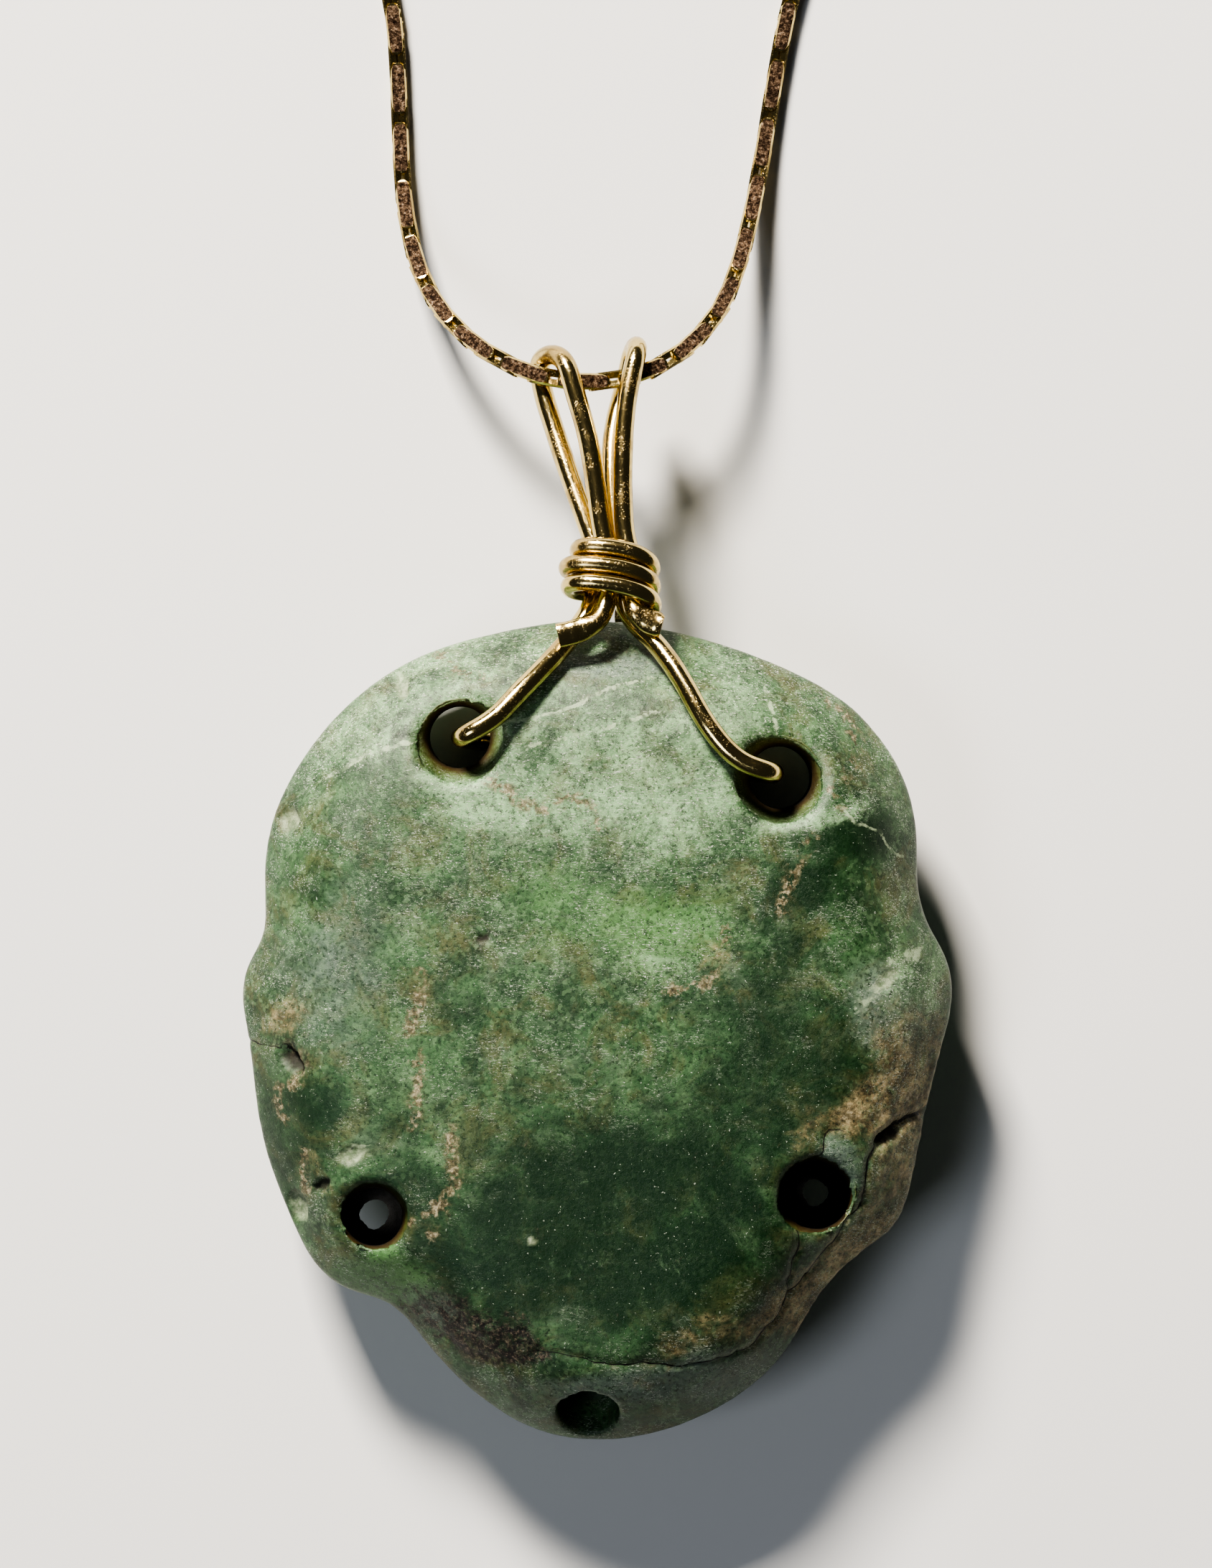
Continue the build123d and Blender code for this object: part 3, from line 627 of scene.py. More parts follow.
def jade_greens(add, place_mm):
    """The stone's clouded greens and its zones, before its fine grain."""
    cloud = add("TexNoise", Vector=place_mm, Scale=0.24, Detail=8.0, Roughness=0.66, Distortion=0.8)
    stops = [(0.32, "#182f1b"), (0.44, "#2b472b"), (0.56, "#41613e"), (0.69, "#6d8a64")]
    hue = add("ValToRGB", cloud, stops=stops)
    greys = add("TexNoise", Vector=place_mm, Scale=0.50, Detail=6.0, Roughness=0.68, Distortion=0.5)
    hue = add("MixRGB", add("MapRange", greys, 0.48, 0.72, 0.0, 0.60, **EASED), hue, "#5e6d5a")
    warm = add("TexNoise", Vector=place_mm, Scale=0.38, Detail=5.0, Roughness=0.68, Distortion=1.0)
    hue = add("MixRGB", add("MapRange", warm, 0.47, 0.66, 0.0, 0.62, **EASED), hue, "#5b5836")
    # The deep zones hold the stone's dark green and painted shade over its lower half
    deep = patchy_zone(add, place_mm, "deep", scale=0.42, breakup=1.9, weight=0.85)
    hue = add("MixRGB", deep, hue, "#0c2a12")
    bright = patchy_zone(add, place_mm, "bright", scale=0.50, breakup=1.00)
    hue = add("MixRGB", bright, hue, "#567c4b")
    grey = patchy_zone(add, place_mm, "grey", scale=0.80, breakup=0.90)
    hue = add("MixRGB", grey, hue, "#66766a")
    # The pale zones hold two painted highlights, on the upper holes' lower rims
    pale = patchy_zone(add, place_mm, "pale", scale=0.62, breakup=2.0, weight=0.66)
    pale = add("Math", pale, 0.85, operation="MULTIPLY")
    hue = add("MixRGB", pale, hue, "#9cbf94")
    streaks = add("Mapping", place_mm, Rotation=(0, 0, math.radians(-14)), Scale=(0.7, 1.5, 1.0))
    window = add("TexNoise", Vector=streaks, Scale=0.95, Detail=6.0, Roughness=0.74, Distortion=0.5)
    window = add("MapRange", window, 0.50, 0.60, 0.0, 0.75, **EASED)
    hue = add("MixRGB", add("Math", pale, window, operation="MULTIPLY"), hue, "#4c7046")
    earth = add("TexNoise", Vector=place_mm, Scale=1.2, Detail=7.0, Roughness=0.74)
    earth = add("ValToRGB", earth, stops=[(0.36, "#33291b"), (0.47, "#7a6a4b"), (0.60, "#b8a67f")])
    brown = patchy_zone(add, place_mm, "brown", scale=0.85, breakup=1.60, weight=0.85)
    return add("MixRGB", add("Math", brown, 0.90, operation="MULTIPLY"), hue, earth)


def jade_grain(add, place_mm, hue):
    """Adds sugary crystals, dark grains, milky haze and frosted scratches, and says how frosted it is."""
    crystals = add("TexVoronoi", Vector=place_mm, Scale=5.5, output="Color")
    crystals = add("SeparateColor", crystals).node.outputs
    deep = add("Attribute", output="Fac", attribute_name="zone_deep")
    clear = add("MapRange", deep, 0.1, 0.8, 1.0, 0.16, **EASED)
    light = add("MapRange", crystals["Red"], 0.60, 1.0, 0.0, 0.20, **EASED)
    hue = add("MixRGB", add("Math", light, clear, operation="MULTIPLY"), hue, "#93b387")
    hue = add("MixRGB", add("MapRange", crystals["Green"], 0.62, 1.0, 0.0, 0.35, **EASED), hue, "#172e17")
    dark_grain = add("TexNoise", Vector=place_mm, Scale=5.4, Detail=5.0, Roughness=0.78)
    hue = add("MixRGB", add("MapRange", dark_grain, 0.49, 0.36, 0.0, 0.85, **EASED), hue, "#162e16")
    haze = add("TexNoise", Vector=place_mm, Scale=1.25, Detail=6.0, Roughness=0.74, Distortion=0.4)
    haze = add("MapRange", haze, 0.50, 0.72, 0.0, 0.28, **EASED)
    hue = add("MixRGB", add("Math", haze, clear, operation="MULTIPLY"), hue, "#78996c")
    patches = add("TexNoise", Vector=place_mm, Scale=0.62, Detail=5.0, Roughness=0.7)
    patches = add("MapRange", patches, 0.42, 0.60, 0.05, 1.00, **EASED)
    pale = add("Attribute", output="Fac", attribute_name="zone_pale")
    where = add("Math", pale, 0.80, patches, operation="MULTIPLY_ADD")
    where = add("Math", deep, -0.95, where, operation="MULTIPLY_ADD")
    # Specks and scratches are as coarse as they need to show: real ones are a few hundredths of a millimetre
    slanted = add("Mapping", place_mm, Rotation=(0, 0, math.radians(28)), Scale=(1.0, 1.6, 1.3))
    specks = add("TexNoise", Vector=slanted, Scale=8.5, Detail=4.0, Roughness=0.82)
    specks = add("MapRange", specks, 0.57, 0.64, **EASED)
    drawn_out = add("Mapping", place_mm, Rotation=(0, 0, math.radians(-18)), Scale=(0.7, 5.5, 3.0))
    scratches = add("TexNoise", Vector=drawn_out, Scale=2.8, Detail=5.0, Roughness=0.84)
    scratches = add("Math", add("MapRange", scratches, 0.57, 0.65, **EASED), 0.9, operation="MULTIPLY")
    frost = add("Math", specks, scratches, operation="MAXIMUM")
    frost = add("Math", frost, add("Math", where, 0.0, operation="MAXIMUM"), operation="MULTIPLY")
    dots = add("TexNoise", Vector=place_mm, Scale=7.0, Detail=2.0, Roughness=0.6)
    frost = add("Math", frost, add("MapRange", dots, 0.69, 0.74, 0.0, 0.38, **EASED), operation="MAXIMUM")
    hue = add("MixRGB", add("Math", frost, 0.92, operation="MULTIPLY"), hue, "#dfe6d8")
    return hue, frost, dark_grain


def jade_marks(add, place_mm, hue, dark_grain):
    """Adds the stone's veins, chips, cracks and dark residue, the painted shadow of the wrap between the legs
    and the painted shade down the holes.
    """
    black = add("ValToRGB", dark_grain, stops=[(0.40, "#0d0b09"), (0.52, "#262019"), (0.66, "#76695a")])
    # Dark residue, and painted shadow of the wrap on the top rim between the legs
    soot_and_wrap_shadow = patchy_zone(add, place_mm, "soot_and_wrap_shadow", scale=1.7, breakup=2.4, weight=0.78)
    hue = add("MixRGB", soot_and_wrap_shadow, hue, black)
    pale = thin_line(add, place_mm, "pale", scale=4.0, fray=0.80, gaps=0.9)
    hue = add("MixRGB", add("Math", pale, 0.6, operation="MULTIPLY"), hue, "#b4c4a4")
    rust = add("TexNoise", Vector=place_mm, Scale=3.8, Detail=4.0, Roughness=0.75)
    rust = add("ValToRGB", rust, stops=[(0.36, "#2c2817"), (0.49, "#665c43"), (0.64, "#b5ab90")])
    vein = thin_line(add, place_mm, "rust", scale=3.0, fray=1.3, gaps=1.0)
    hue = add("MixRGB", add("Math", vein, 0.85, operation="MULTIPLY"), hue, rust)
    chalk = add("TexNoise", Vector=place_mm, Scale=2.6, Detail=4.0, Roughness=0.7)
    chalk = add("ValToRGB", chalk, stops=[(0.40, "#748466"), (0.60, "#b6bfa2")])
    hue = add("MixRGB", add("Attribute", output="Fac", attribute_name="zone_chip"), hue, chalk)
    hue = add("MixRGB", add("Attribute", output="Fac", attribute_name="crack_rim"), hue, rust)
    crack = thin_line(add, place_mm, "crack", scale=5.0, fray=0.25, gaps=0.35)
    hue = add("MixRGB", crack, hue, "#0d0805")
    hue = add("MixRGB", add("Attribute", output="Fac", attribute_name="zone_pit"), hue, "#1c140c")
    # The holes' walls: brown stain together with painted shade, darker the deeper the wall lies
    depth = add("Attribute", output="Fac", attribute_name="zone_hole_stain_and_shade")
    stain = add("TexNoise", Vector=place_mm, Scale=1.2, Detail=4.0, Roughness=0.7)
    stain = add("Math", stain, 0.5, depth, operation="MULTIPLY_ADD")
    wall_stain_and_shade = add("ValToRGB", stain, stops=[(0.45, "#5f6b33"), (0.72, "#41351c"), (1.0, "#15100a")])
    return add("MixRGB", add("MapRange", depth, 0.08, 0.55, **EASED), hue, wall_stain_and_shade)


def jade():
    """Green jade, ground and rubbed: waxy, clouded and sugary, with frosted scratches and a brown rind."""
    material, add, place_mm = new_material("mottled_green_jade")
    hue, frost, grain = jade_grain(add, place_mm, jade_greens(add, place_mm))
    hue = jade_marks(add, place_mm, hue, grain)
    brown = add("Attribute", output="Fac", attribute_name="zone_brown")
    hole = add("Attribute", output="Fac", attribute_name="zone_hole_stain_and_shade")
    pit = add("Attribute", output="Fac", attribute_name="zone_pit")
    dull = add("Math", pit, 1.6, add("Math", brown, hole, operation="MAXIMUM"), operation="MULTIPLY_ADD")
    waxy = add("MapRange", grain, 0.3, 0.7, 0.30, 0.46, **EASED)
    rough = add("Math", frost, 0.22, waxy, operation="MULTIPLY_ADD")
    rough = add("Math", dull, 0.22, rough, operation="MULTIPLY_ADD")
    height = add("Math", frost, 0.5, grain, operation="MULTIPLY_ADD")
    return finish_material(material, add, hue, rough, height, strength=0.55, relief=0.06)


# The stone


def stone_copy(voxel):
    """A closed, evenly meshed copy of the mask, in millimetres from its middle."""
    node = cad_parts["jade_mask"]
    stone = bpy.data.objects.new("stone", node.data.copy())
    bpy.context.scene.collection.objects.link(stone)
    shift = Matrix.Translation((-mask_middle.x, -mask_middle.y, 0))
    stone.data.transform(Matrix.Scale(1 / MM, 4) @ shift)
    apply_modifier(stone, "WELD", merge_threshold=0.0005)
    apply_modifier(stone, "REMESH", mode="VOXEL", voxel_size=voxel, use_smooth_shade=True)
    apply_modifier(stone, "SMOOTH", factor=0.5, iterations=6)
    return stone


def signed_distance(flat, points):
    """How far each place is from a line of points, negative on its right, seen from above."""
    best = np.full(len(flat), 1e9)
    signed = np.full(len(flat), 1e9)
    for start, end in zip(points, points[1:]):
        run = np.subtract(end, start)
        share = np.clip((flat - start) @ run / (run @ run), 0.0, 1.0)
        away = flat - start - share[:, None] * run
        distance = np.hypot(*away.T)
        side = np.where(run[0] * away[:, 1] - run[1] * away[:, 0] < 0, -1.0, 1.0)
        signed = np.where(distance < best, side * distance, signed)
        best = np.minimum(best, distance)
    return signed


def nearest_line(flat, lines, reach):
    """For the nearest of several lines: how far across it in its half widths, and how near it is."""
    across = np.full(len(flat), 9.0)
    near = np.zeros(len(flat))
    for line in lines:
        signed = signed_distance(flat, line[-1])
        closer = np.abs(signed) / line[0] < np.abs(across)
        across = np.where(closer, signed / line[0], across)
        near = np.maximum(near, smooth_step(1.2 - np.abs(signed) / reach))
    return np.clip(across, -9.0, 9.0), near


def ellipse(flat, across, up, half_across, half_up, turn):
    """How far each place is from an ellipse's middle, 1 at its edge."""
    angle = math.radians(turn)
    away = flat - (across, up)
    along = (away[:, 0] * math.cos(angle) + away[:, 1] * math.sin(angle)) / half_across
    beside = (away[:, 1] * math.cos(angle) - away[:, 0] * math.sin(angle)) / half_up
    return np.hypot(along, beside)


def wandering(places, amount, scale, seed):
    """Places seen from above, shifted by smooth noise so that what is laid out on them wanders."""
    shift = np.column_stack([waves(places, scale, seed), waves(places, scale, seed + 1)])
    return places[:, :2] + amount * shift


def mark_stone(stone, unevenness):
    """Sinks the stone's cracks, chips, pits and carved lines, and stores where its colours lie."""
    mesh = stone.data
    places = vertex_places(mesh)
    normals = vertex_normals(mesh)
    # The back's marks fade out down the sides, and keep off the carved face
    on_back = smooth_step((places[:, 2] - 2.5) / 2.0) * smooth_step(normals[:, 2] * 3 + 1.2)
    fine = wandering(places, amount=0.14, scale=1.7, seed=3)
    drift = wandering(places, amount=0.9, scale=0.30, seed=7)
    sunk = unevenness * (1 - waves(places, scale=0.22, seed=1))
    sunk += 0.3 * unevenness * (1 - waves(places, scale=0.9, seed=2))

    for kind, lines in (("crack", CRACKS), ("pale", PALE_VEINS), ("rust", RUST_VEINS)):
        across, near = nearest_line(fine, lines, reach=0.45)
        set_attribute(mesh, kind + "_across", across)
        set_attribute(mesh, kind + "_near", near * on_back)
    rim = np.zeros(len(places))
    for half_width, depth, points in CRACKS:
        distance = np.abs(signed_distance(fine, points))
        sunk += depth * np.exp(-((distance / (half_width + 0.09)) ** 2)) * on_back
        rim = np.maximum(rim, smooth_step(1.35 - distance / (half_width * 2.6 + 0.10)) * min(1.0, depth * 3))
    crumbs = smooth_step(waves(places, scale=2.9, seed=5) * 3.0 + 0.3)
    set_attribute(mesh, "crack_rim", rim * crumbs * on_back)

    for name, marks, weight in (("zone_chip", CHIPS, 0.62), ("zone_pit", PITS, 0.85)):
        share = np.zeros(len(places))
        for *shape, depth in marks:
            here = smooth_step((1.15 - ellipse(fine, *shape)) / 0.40) * on_back
            share = np.maximum(share, here)
            sunk += depth * here
        set_attribute(mesh, name, share * weight)

    for kind, zones in ZONES.items():
        share = np.zeros(len(places))
        for *shape, strength in zones:
            share += strength * smooth_step((1.6 - ellipse(drift, *shape)) / 1.35)
        share = np.minimum(share, 1.0) * on_back
        set_attribute(mesh, "zone_" + kind, share)
        # The brown rind, the dark residue and the painted shadow of the wrap are rough and lie a little lower
        # than the ground stone
        if kind in ("brown", "soot_and_wrap_shadow"):
            coarse = 1 - waves(places, scale=1.9, seed=11)
            sunk += 0.05 * share * coarse + 0.03 * share * (1 - waves(places, scale=4.0, seed=12))

    # The holes' mouths are rounded, and their walls below are marked: brown stain together with painted
    # shade, darker the deeper the wall lies
    inside = np.zeros(len(places))
    for across, up, radius in HOLES:
        distance = np.hypot(places[:, 0] - across, places[:, 1] - up)
        wall = np.clip((9.5 - places[:, 2]) / 3.0, 0.0, 1.0) * (normals[:, 2] > -0.5)
        inside = np.maximum(inside, (distance < radius * 1.03) * wall)
        sunk += 0.40 * smooth_step((radius + 0.75 - distance) / 0.9) * smooth_step((places[:, 2] - 7.5) / 1.5)
    set_attribute(mesh, "zone_hole_stain_and_shade", inside)

    on_face = smooth_step(-normals[:, 2] * 3 - 0.6) * (1 - inside)
    half = np.column_stack([np.abs(places[:, 0]), places[:, 1]])
    for half_width, depth, points in FACE_LINES:
        sunk += depth * np.exp(-((signed_distance(half, points) / half_width) ** 2)) * on_face
    for *shape, depth in NOSTRILS:
        sunk += depth * smooth_step((1.3 - ellipse(half, *shape, 20.0)) / 0.5) * on_face
    set_places(mesh, places - normals * sunk[:, None])


class PENDANT_OT_stone(Operator):
    """Makes the carved stone with its chips, cracks and mottling"""

    bl_idname = "pendant.stone"
    bl_label = "Stone"

    def execute(self, context):
        sizes = context.scene.pendant_stone
        stone = stone_copy(in_mm(sizes.voxel))
        mark_stone(stone, in_mm(sizes.unevenness))
        back = Matrix.Translation((mask_middle.x, mask_middle.y, 0)) @ Matrix.Scale(MM, 4)
        stone.data.transform(back)
        finish_piece(stone, "jade_mask_stone", [jade()], "jade_mask")
        return {"FINISHED"}


# The wires


def smooth_route(points, steps):
    """A smooth line that follows a route, as a curve object."""
    deselect()
    bpy.ops.curve.primitive_nurbs_path_add()
    route = bpy.context.object
    route.location = (0, 0, 0)
    spline = route.data.splines[0]
    spline.points.add(len(points) - len(spline.points))
    for control, point in zip(spline.points, points):
        control.co = (*point, 1.0)
    spline.order_u = 3
    spline.use_endpoint_u = True
    spline.resolution_u = steps
    return route


def wire_along(points, radius, steps=12):
    """A round wire with closed ends along a smooth route, as a mesh."""
    wire = smooth_route(points, steps)
    wire.data.bevel_depth = radius
    wire.data.bevel_resolution = 6
    wire.data.use_fill_caps = True
    pick(wire)
    bpy.ops.object.convert(target="MESH")
    wire = bpy.context.object
    apply_modifier(wire, "WELD", merge_threshold=0.001 * MM)
    outwards(wire)
    bpy.ops.object.shade_smooth_by_angle(angle=math.radians(50))
    return wire


# The share of the wire's length in which each end may be pressed, and its ridges in millimetres
pressed_share = 0.05
ridge_height = 0.012
ridge_pitch = 0.60
# The pressed ends: (place in the route, the next place, reach in millimetres, share of height and of width)
PRESSED_ENDS = [
    (0, 1, 1.9, 0.62, 1.22),
    (-1, -2, 1.5, 0.60, 1.25),
]
# The wire's slight dents: (dents to a millimetre, their height in millimetres, seed)
DENTS = [
    (0.7, 0.016, 4),
    (2.4, 0.003, 5),
]


def press_end(places, at_end, end, direction, reach, flat, broad):
    """Presses a cut end flat as pliers do, with ridges across it."""
    along = (places - end) @ direction
    share = smooth_step((reach - along) / (0.45 * reach)) * at_end
    middle = end + np.outer(along, direction)
    off = places - middle
    side = np.cross((0, 0, 1), direction)
    ridges = ridge_height * MM * np.sin(along / (ridge_pitch * MM) * 2 * math.pi) * share
    across = off @ side * (1 + (broad - 1) * share)
    high = off[:, 2] * (1 + (flat - 1) * share) + ridges * (off[:, 2] > 0)
    return middle + np.outer(across, side) + np.outer(high, (0, 0, 1))


def bail_route():
    """The bail's whole line: cut end, left loop, left leg, bar, right leg, right loop, cut end."""
    route = [place(*row) for row in LEFT_CUT_END] + [in_bail(*row) for row in LEFT_LOOP]
    route += [place(*row) for row in LEFT_LEG + FACE_BAR + RIGHT_LEG]
    return route + [in_bail(*row) for row in RIGHT_LOOP] + [place(*row) for row in RIGHT_CUT_END]


class PENDANT_OT_bail(Operator):
    """Bends the bail from one length of wire"""

    bl_idname = "pendant.bail"
    bl_label = "Bail wire"

    def execute(self, context):
        radius = context.scene.pendant_wires.bail_diameter / 2
        route = bail_route()
        wire = wire_along(route, radius)
        places = vertex_places(wire.data)
        # The corners run from the wire's start to its end, so their rank tells which end they are near
        rank = np.arange(len(places)) / len(places)
        for first, second, reach, flat, broad in PRESSED_ENDS:
            end = np.array(route[first])
            at_end = np.abs(rank + first) < pressed_share
            direction = np.array((route[second] - route[first]).normalized())
            direction[2] = 0
            direction /= np.linalg.norm(direction)
            places = press_end(places, at_end, end, direction, reach * MM, flat, broad)
        dents = sum(waves(places / MM, scale, seed) * height for scale, height, seed in DENTS)
        set_places(wire.data, places + vertex_normals(wire.data) * dents[:, None] * MM)
        finish_piece(wire, "bail_wire_bent", [polished_brass()], "bail_wire")
        return {"FINISHED"}


def wrap_route():
    """The wrap's turns round the four strands, rounded like the bundle that they hold."""
    points_a_turn = 16
    pitch = 0.86
    slope = 0.20
    slope_reach = 1.7
    squareness = 2 / 3.0
    lift = 1.36
    bow_height = 0.22
    route = []
    total = len(WRAP_TURNS) * points_a_turn
    for step in range(total + 1):
        turn = min(step // points_a_turn, len(WRAP_TURNS) - 1)
        angle = -math.pi / 2 - 2 * math.pi * step / points_a_turn
        left, right = WRAP_TURNS[turn]
        reach = right if math.cos(angle) > 0 else left
        across = reach * math.copysign(abs(math.cos(angle)) ** squareness, math.cos(angle))
        high = lift * math.copysign(abs(math.sin(angle)) ** squareness, math.sin(angle))
        down = (step / points_a_turn - len(WRAP_TURNS) / 2) * pitch
        bow = bow_height * (1 - (across / reach) ** 2) * (math.sin(angle) > 0)
        along = -down - slope * across / slope_reach + bow
        up = wrap_up + along * math.cos(bail_droop) + high * math.sin(bail_droop)
        height = bail_height - along * math.sin(bail_droop) + high * math.cos(bail_droop)
        route.append(place(wrap_across + across, up, height))
    return route


class PENDANT_OT_wrap(Operator):
    """Winds the thinner wire three times round the bail's strands"""

    bl_idname = "pendant.wrap"
    bl_label = "Wrap wire"

    def execute(self, context):
        radius = context.scene.pendant_wires.wrap_diameter / 2
        wire = wire_along(wrap_route(), radius, 6)
        finish_piece(wire, "wrap_wire_wound", [polished_brass()], "wrap_wire")
        return {"FINISHED"}


# The chain


# A quarter of a link's ring in millimetres, from its upper flat round to the middle of its end:
# (along, height of the flat or turn, half width of the flat, of the shoulder and inside, depth)
LINK_STATIONS = [
    (0.86, 0.390, 0.290, 0.372, 0.20, 0.345),
    (1.07, 0.388, 0.220, 0.300, 0.17, 0.335),
    (1.18, 0.372, 0.100, 0.180, 0.12, 0.290),
    (1.250, 0.000, 0.060, 0.110, 0.10, 0.200),
]
shoulder_drop = 0.090
# A face that looks straight up or down from this height on is a filed flat
flat_height = 0.36
# How far from a link's middle its direction is taken along the route
link_reach = 1.0


def make_link():
    """One link: a ring bent from wire and filed flat above and below, about its own middle."""
    half = LINK_STATIONS + [(row[0], -row[1], *row[2:]) for row in reversed(LINK_STATIONS[:-1])]
    rings = half + [(-row[0], -row[1], *row[2:]) for row in half]
    deselect()
    bpy.ops.mesh.primitive_torus_add(major_segments=len(rings), minor_segments=6, location=(0, 0, 0))
    link = bpy.context.object
    corners = []
    for i, (along, high, flat, shoulder, inside, depth) in enumerate(rings):
        before, after = rings[i - 1], rings[(i + 1) % len(rings)]
        run = Vector((after[0] - before[0], after[1] - before[1]))
        inward = Vector((run.y, -run.x)).normalized()
        side = [(flat, 0.0), (shoulder, shoulder_drop), (inside, depth)]
        for width, sunk in side + [(-width, sunk) for width, sunk in reversed(side)]:
            corners.append((along + inward.x * sunk, width, high + inward.y * sunk))
    set_places(link.data, np.array(corners) * MM)
    outwards(link)
    bpy.ops.object.shade_smooth_by_angle(angle=math.radians(40))
    for face in link.data.polygons:
        if abs(face.normal.z) > 0.99 and abs(face.center.z) > flat_height * MM:
            face.material_index = 1
    return link


def route_line(points):
    """The places on the smooth line of a route, and how far along it each one is."""
    route = smooth_route(points, 12)
    line = bpy.data.meshes.new_from_object(route)
    corners = vertex_places(line)
    bpy.data.objects.remove(route)
    bpy.data.meshes.remove(line)
    steps = np.linalg.norm(np.diff(corners, axis=0), axis=1)
    travelled = np.concatenate([[0.0], np.cumsum(steps)])
    return corners, travelled


def along_line(corners, travelled, distance):
    """The place at a distance along a line."""
    return np.array([np.interp(distance, travelled, corners[:, axis]) for axis in range(3)])


class PENDANT_OT_chain(Operator):
    """Links the chain along its route, every second link turned on its side"""

    bl_idname = "pendant.chain"
    bl_label = "Chain"

    def execute(self, context):
        route = []
        for across, along, raised in CHAIN_ROUTE:
            height = chain_radius + raised * (saddle_height - chain_radius)
            route.append(place(saddle_across + across, saddle_up + along, height))
        corners, travelled = route_line(route)
        pitch = context.scene.pendant_chain.link_pitch
        count = round(travelled[-1] / pitch)
        pitch = travelled[-1] / count
        link = make_link()
        # Joined links keep their flats' material only if each has its materials before
        materials = [polished_brass(), filed_facet()]
        for material in materials:
            link.data.materials.append(material)
        copies = []
        for i in range(count):
            middle = (i + 0.5) * pitch
            start = along_line(corners, travelled, middle - link_reach * MM)
            end = along_line(corners, travelled, middle + link_reach * MM)
            ahead = Vector(end - start).normalized()
            side = Vector((0, 0, 1)).cross(ahead).normalized()
            up = ahead.cross(side)
            if i % 2:
                side, up = up, -side
            turned = Matrix((ahead, side, up)).transposed().to_4x4()
            turned.translation = Vector((start + end) / 2)
            copy = link.copy()
            copy.data = link.data.copy()
            copy.data.transform(turned)
            context.scene.collection.objects.link(copy)
            copies.append(copy)
        bpy.data.objects.remove(link)
        pick(copies[0])
        for copy in copies:
            copy.select_set(True)
        bpy.ops.object.join()
        finish_piece(context.object, "chain_links", materials, "chain")
        return {"FINISHED"}


# One half of the barrel clasp, from the seam in its middle outwards and into its socket: (along, radius)
CLASP_PROFILE = [
    (0.00, 1.12),
    (0.08, 1.22),
    (0.18, 1.27),
    (0.62, 1.27),
    (0.70, 1.22),
    (0.78, 1.27),
    (2.22, 1.27),
    (2.30, 1.22),
    (2.38, 1.27),
    (2.78, 1.25),
    (2.97, 1.08),
    (3.02, 0.84),
    (3.20, 0.78),
    (4.20, 0.78),
    (4.30, 0.83),
    (4.42, 0.83),
    (4.49, 0.76),
    (4.49, 0.52),
    (4.40, 0.46),
    (3.44, 0.46),
    (3.44, 0.00),
]
# The grips' flutes in millimetres: from and to, how far off the axis, how far in from an edge, how deep
flutes_from = 1.4
flutes_to = 1.6
flutes_off_axis = 1.2
flute_margin = 0.05
flute_depth = 0.06


class PENDANT_OT_clasp(Operator):
    """Turns the barrel clasp, with fluted grips and a seam where its halves meet"""

    bl_idname = "pendant.clasp"
    bl_label = "Clasp"

    def execute(self, context):
        profile = [(-along, radius) for along, radius in reversed(CLASP_PROFILE[1:])] + CLASP_PROFILE
        outline = smooth_route([(along * MM, 0, radius * MM) for along, radius in profile], 1)
        outline.data.splines[0].type = "POLY"
        pick(outline)
        bpy.ops.object.convert(target="MESH")
        clasp = context.object
        bpy.ops.object.mode_set(mode="EDIT")
        bpy.ops.mesh.select_all(action="SELECT")
        bpy.ops.mesh.spin(steps=36, angle=2 * math.pi, center=(0, 0, 0), axis=(1, 0, 0))
        bpy.ops.mesh.select_all(action="SELECT")
        bpy.ops.mesh.remove_doubles(threshold=0.002 * MM)
        bpy.ops.mesh.normals_make_consistent(inside=False)
        bpy.ops.mesh.select_mode(type="FACE")
        bpy.ops.mesh.select_all(action="DESELECT")
        bpy.ops.object.mode_set(mode="OBJECT")
        for face in clasp.data.polygons:
            off_axis = math.hypot(face.center.y, face.center.z)
            in_grip = flutes_from * MM < abs(face.center.x) < flutes_to * MM
            face.select = in_grip and off_axis > flutes_off_axis * MM
        bpy.ops.object.mode_set(mode="EDIT")
        bpy.ops.mesh.inset(use_individual=True, thickness=flute_margin * MM, depth=-flute_depth * MM)
        bpy.ops.object.mode_set(mode="OBJECT")
        bpy.ops.object.shade_smooth_by_angle(angle=math.radians(35))
        low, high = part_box("clasp")
        clasp.data.transform(Matrix.Translation((low + high) / 2))
        finish_piece(clasp, "clasp_barrel", [polished_brass()], "clasp")
        return {"FINISHED"}


# The stage


# The soft square lights: (name, place from the stone in metres, width in metres, power in watts, hue)
LIGHTS = [
    ("key", (-0.18, 0.45, 0.36), 0.13, 9.5, "#fff6ea"),
    ("fill", (-0.30, -0.16, 0.50), 0.22, 0.9, "#eef4ff"),
]
# The floor's width, its drop so that it shares no plane with the pendant, and the room's faint light
floor_width = 6.0
floor_drop = 0.00002
room_light = 0.05
# The middle of the view, in millimetres from the middle of the mask
view_across = 0.37
view_up = 11.16


def add_light(name, where, towards, size, power, hue):
    """A soft square light that faces a place."""
    deselect()
    bpy.ops.object.light_add(type="AREA", location=where)
    light = bpy.context.object
    light.name = name
    light.rotation_euler = (Vector(towards) - Vector(where)).to_track_quat("-Z", "Y").to_euler()
    light.data.size = size
    light.data.energy = power
    light.data.color = colour(hue)[:3]


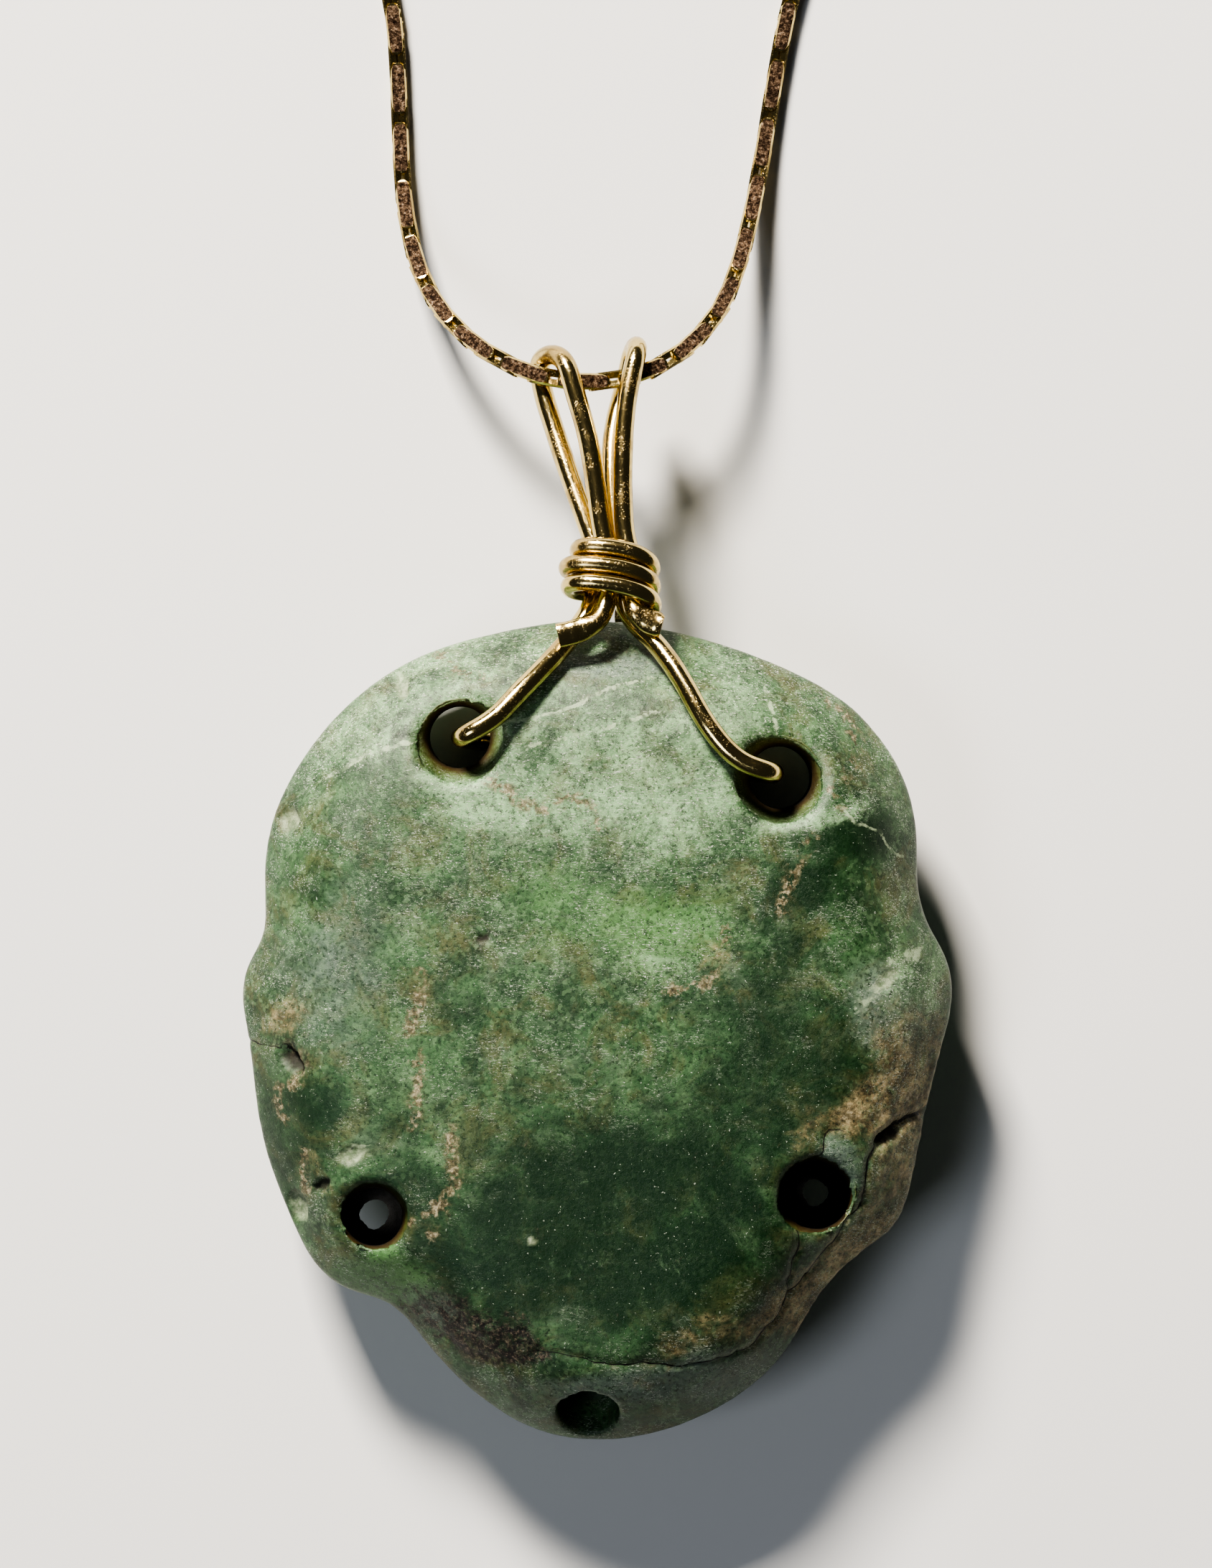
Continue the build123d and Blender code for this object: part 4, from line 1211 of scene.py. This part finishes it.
class PENDANT_OT_stage(Operator):
    """Sets the pale floor, the soft lights and the camera straight above"""

    bl_idname = "pendant.stage"
    bl_label = "Stage"

    def execute(self, context):
        stage = context.scene.pendant_stage
        deselect()
        bpy.ops.mesh.primitive_plane_add(size=floor_width, location=(0, 0, -floor_drop))
        floor = context.object
        floor.name = "floor"
        material = bpy.data.materials.new("matt_pale_paper")
        material.use_nodes = True
        shader = material.node_tree.nodes["Principled BSDF"]
        shader.inputs["Base Color"].default_value = (*stage.floor_colour, 1.0)
        shader.inputs["Roughness"].default_value = 0.9
        floor.data.materials.append(material)

        world = bpy.data.worlds.new("studio")
        world.use_nodes = True
        background = world.node_tree.nodes["Background"]
        background.inputs["Color"].default_value = colour("#dfe3e6")
        background.inputs["Strength"].default_value = room_light
        context.scene.world = world

        context.scene.view_settings.look = "AgX - High Contrast"
        middle = place(0, 5, 8)
        for name, away, size, power, hue in LIGHTS:
            add_light(name, middle + Vector(away), middle, size, power, hue)

        camera_data = bpy.data.cameras.new("camera")
        camera = bpy.data.objects.new("camera", camera_data)
        context.scene.collection.objects.link(camera)
        camera.location = place(view_across, view_up, mask_top) + Vector((0, 0, stage.camera_distance))
        camera_data.sensor_width = 36.0
        camera_data.lens = camera_data.sensor_width * stage.camera_distance / stage.view_height
        camera_data.clip_start = 0.01
        context.scene.camera = camera
        return {"FINISHED"}


class PENDANT_PT_panel(Panel):
    """Lists the pendant's pieces in the sidebar"""

    bl_label = "Jade pendant"
    bl_idname = "PENDANT_PT_panel"
    bl_space_type = "VIEW_3D"
    bl_region_type = "UI"
    bl_category = "Jade pendant"

    def draw(self, context):
        for operator in OPERATORS:
            self.layout.operator(operator.bl_idname)
        for group_name, group in GROUPS.items():
            for name in group.__annotations__:
                self.layout.prop(getattr(context.scene, group_name), name)


OPERATORS = (
    PENDANT_OT_stone,
    PENDANT_OT_bail,
    PENDANT_OT_wrap,
    PENDANT_OT_chain,
    PENDANT_OT_clasp,
    PENDANT_OT_stage,
)
GROUPS = {
    "pendant_stone": StoneSettings,
    "pendant_wires": WireSettings,
    "pendant_chain": ChainSettings,
    "pendant_stage": StageSettings,
}


def register():
    for cls in (*GROUPS.values(), *OPERATORS, PENDANT_PT_panel):
        bpy.utils.register_class(cls)
    for name, group in GROUPS.items():
        setattr(bpy.types.Scene, name, PointerProperty(type=group))


def unregister():
    for name in GROUPS:
        delattr(bpy.types.Scene, name)
    for cls in (PENDANT_PT_panel, *reversed(OPERATORS), *reversed(GROUPS.values())):
        bpy.utils.unregister_class(cls)


def main():
    """Builds the pendant's stone, wires, chain, clasp and stage."""
    register()
    bpy.ops.pendant.stone()
    bpy.ops.pendant.bail()
    bpy.ops.pendant.wrap()
    bpy.ops.pendant.chain()
    bpy.ops.pendant.clasp()
    bpy.ops.pendant.stage()


if __name__ == "__main__":
    main()
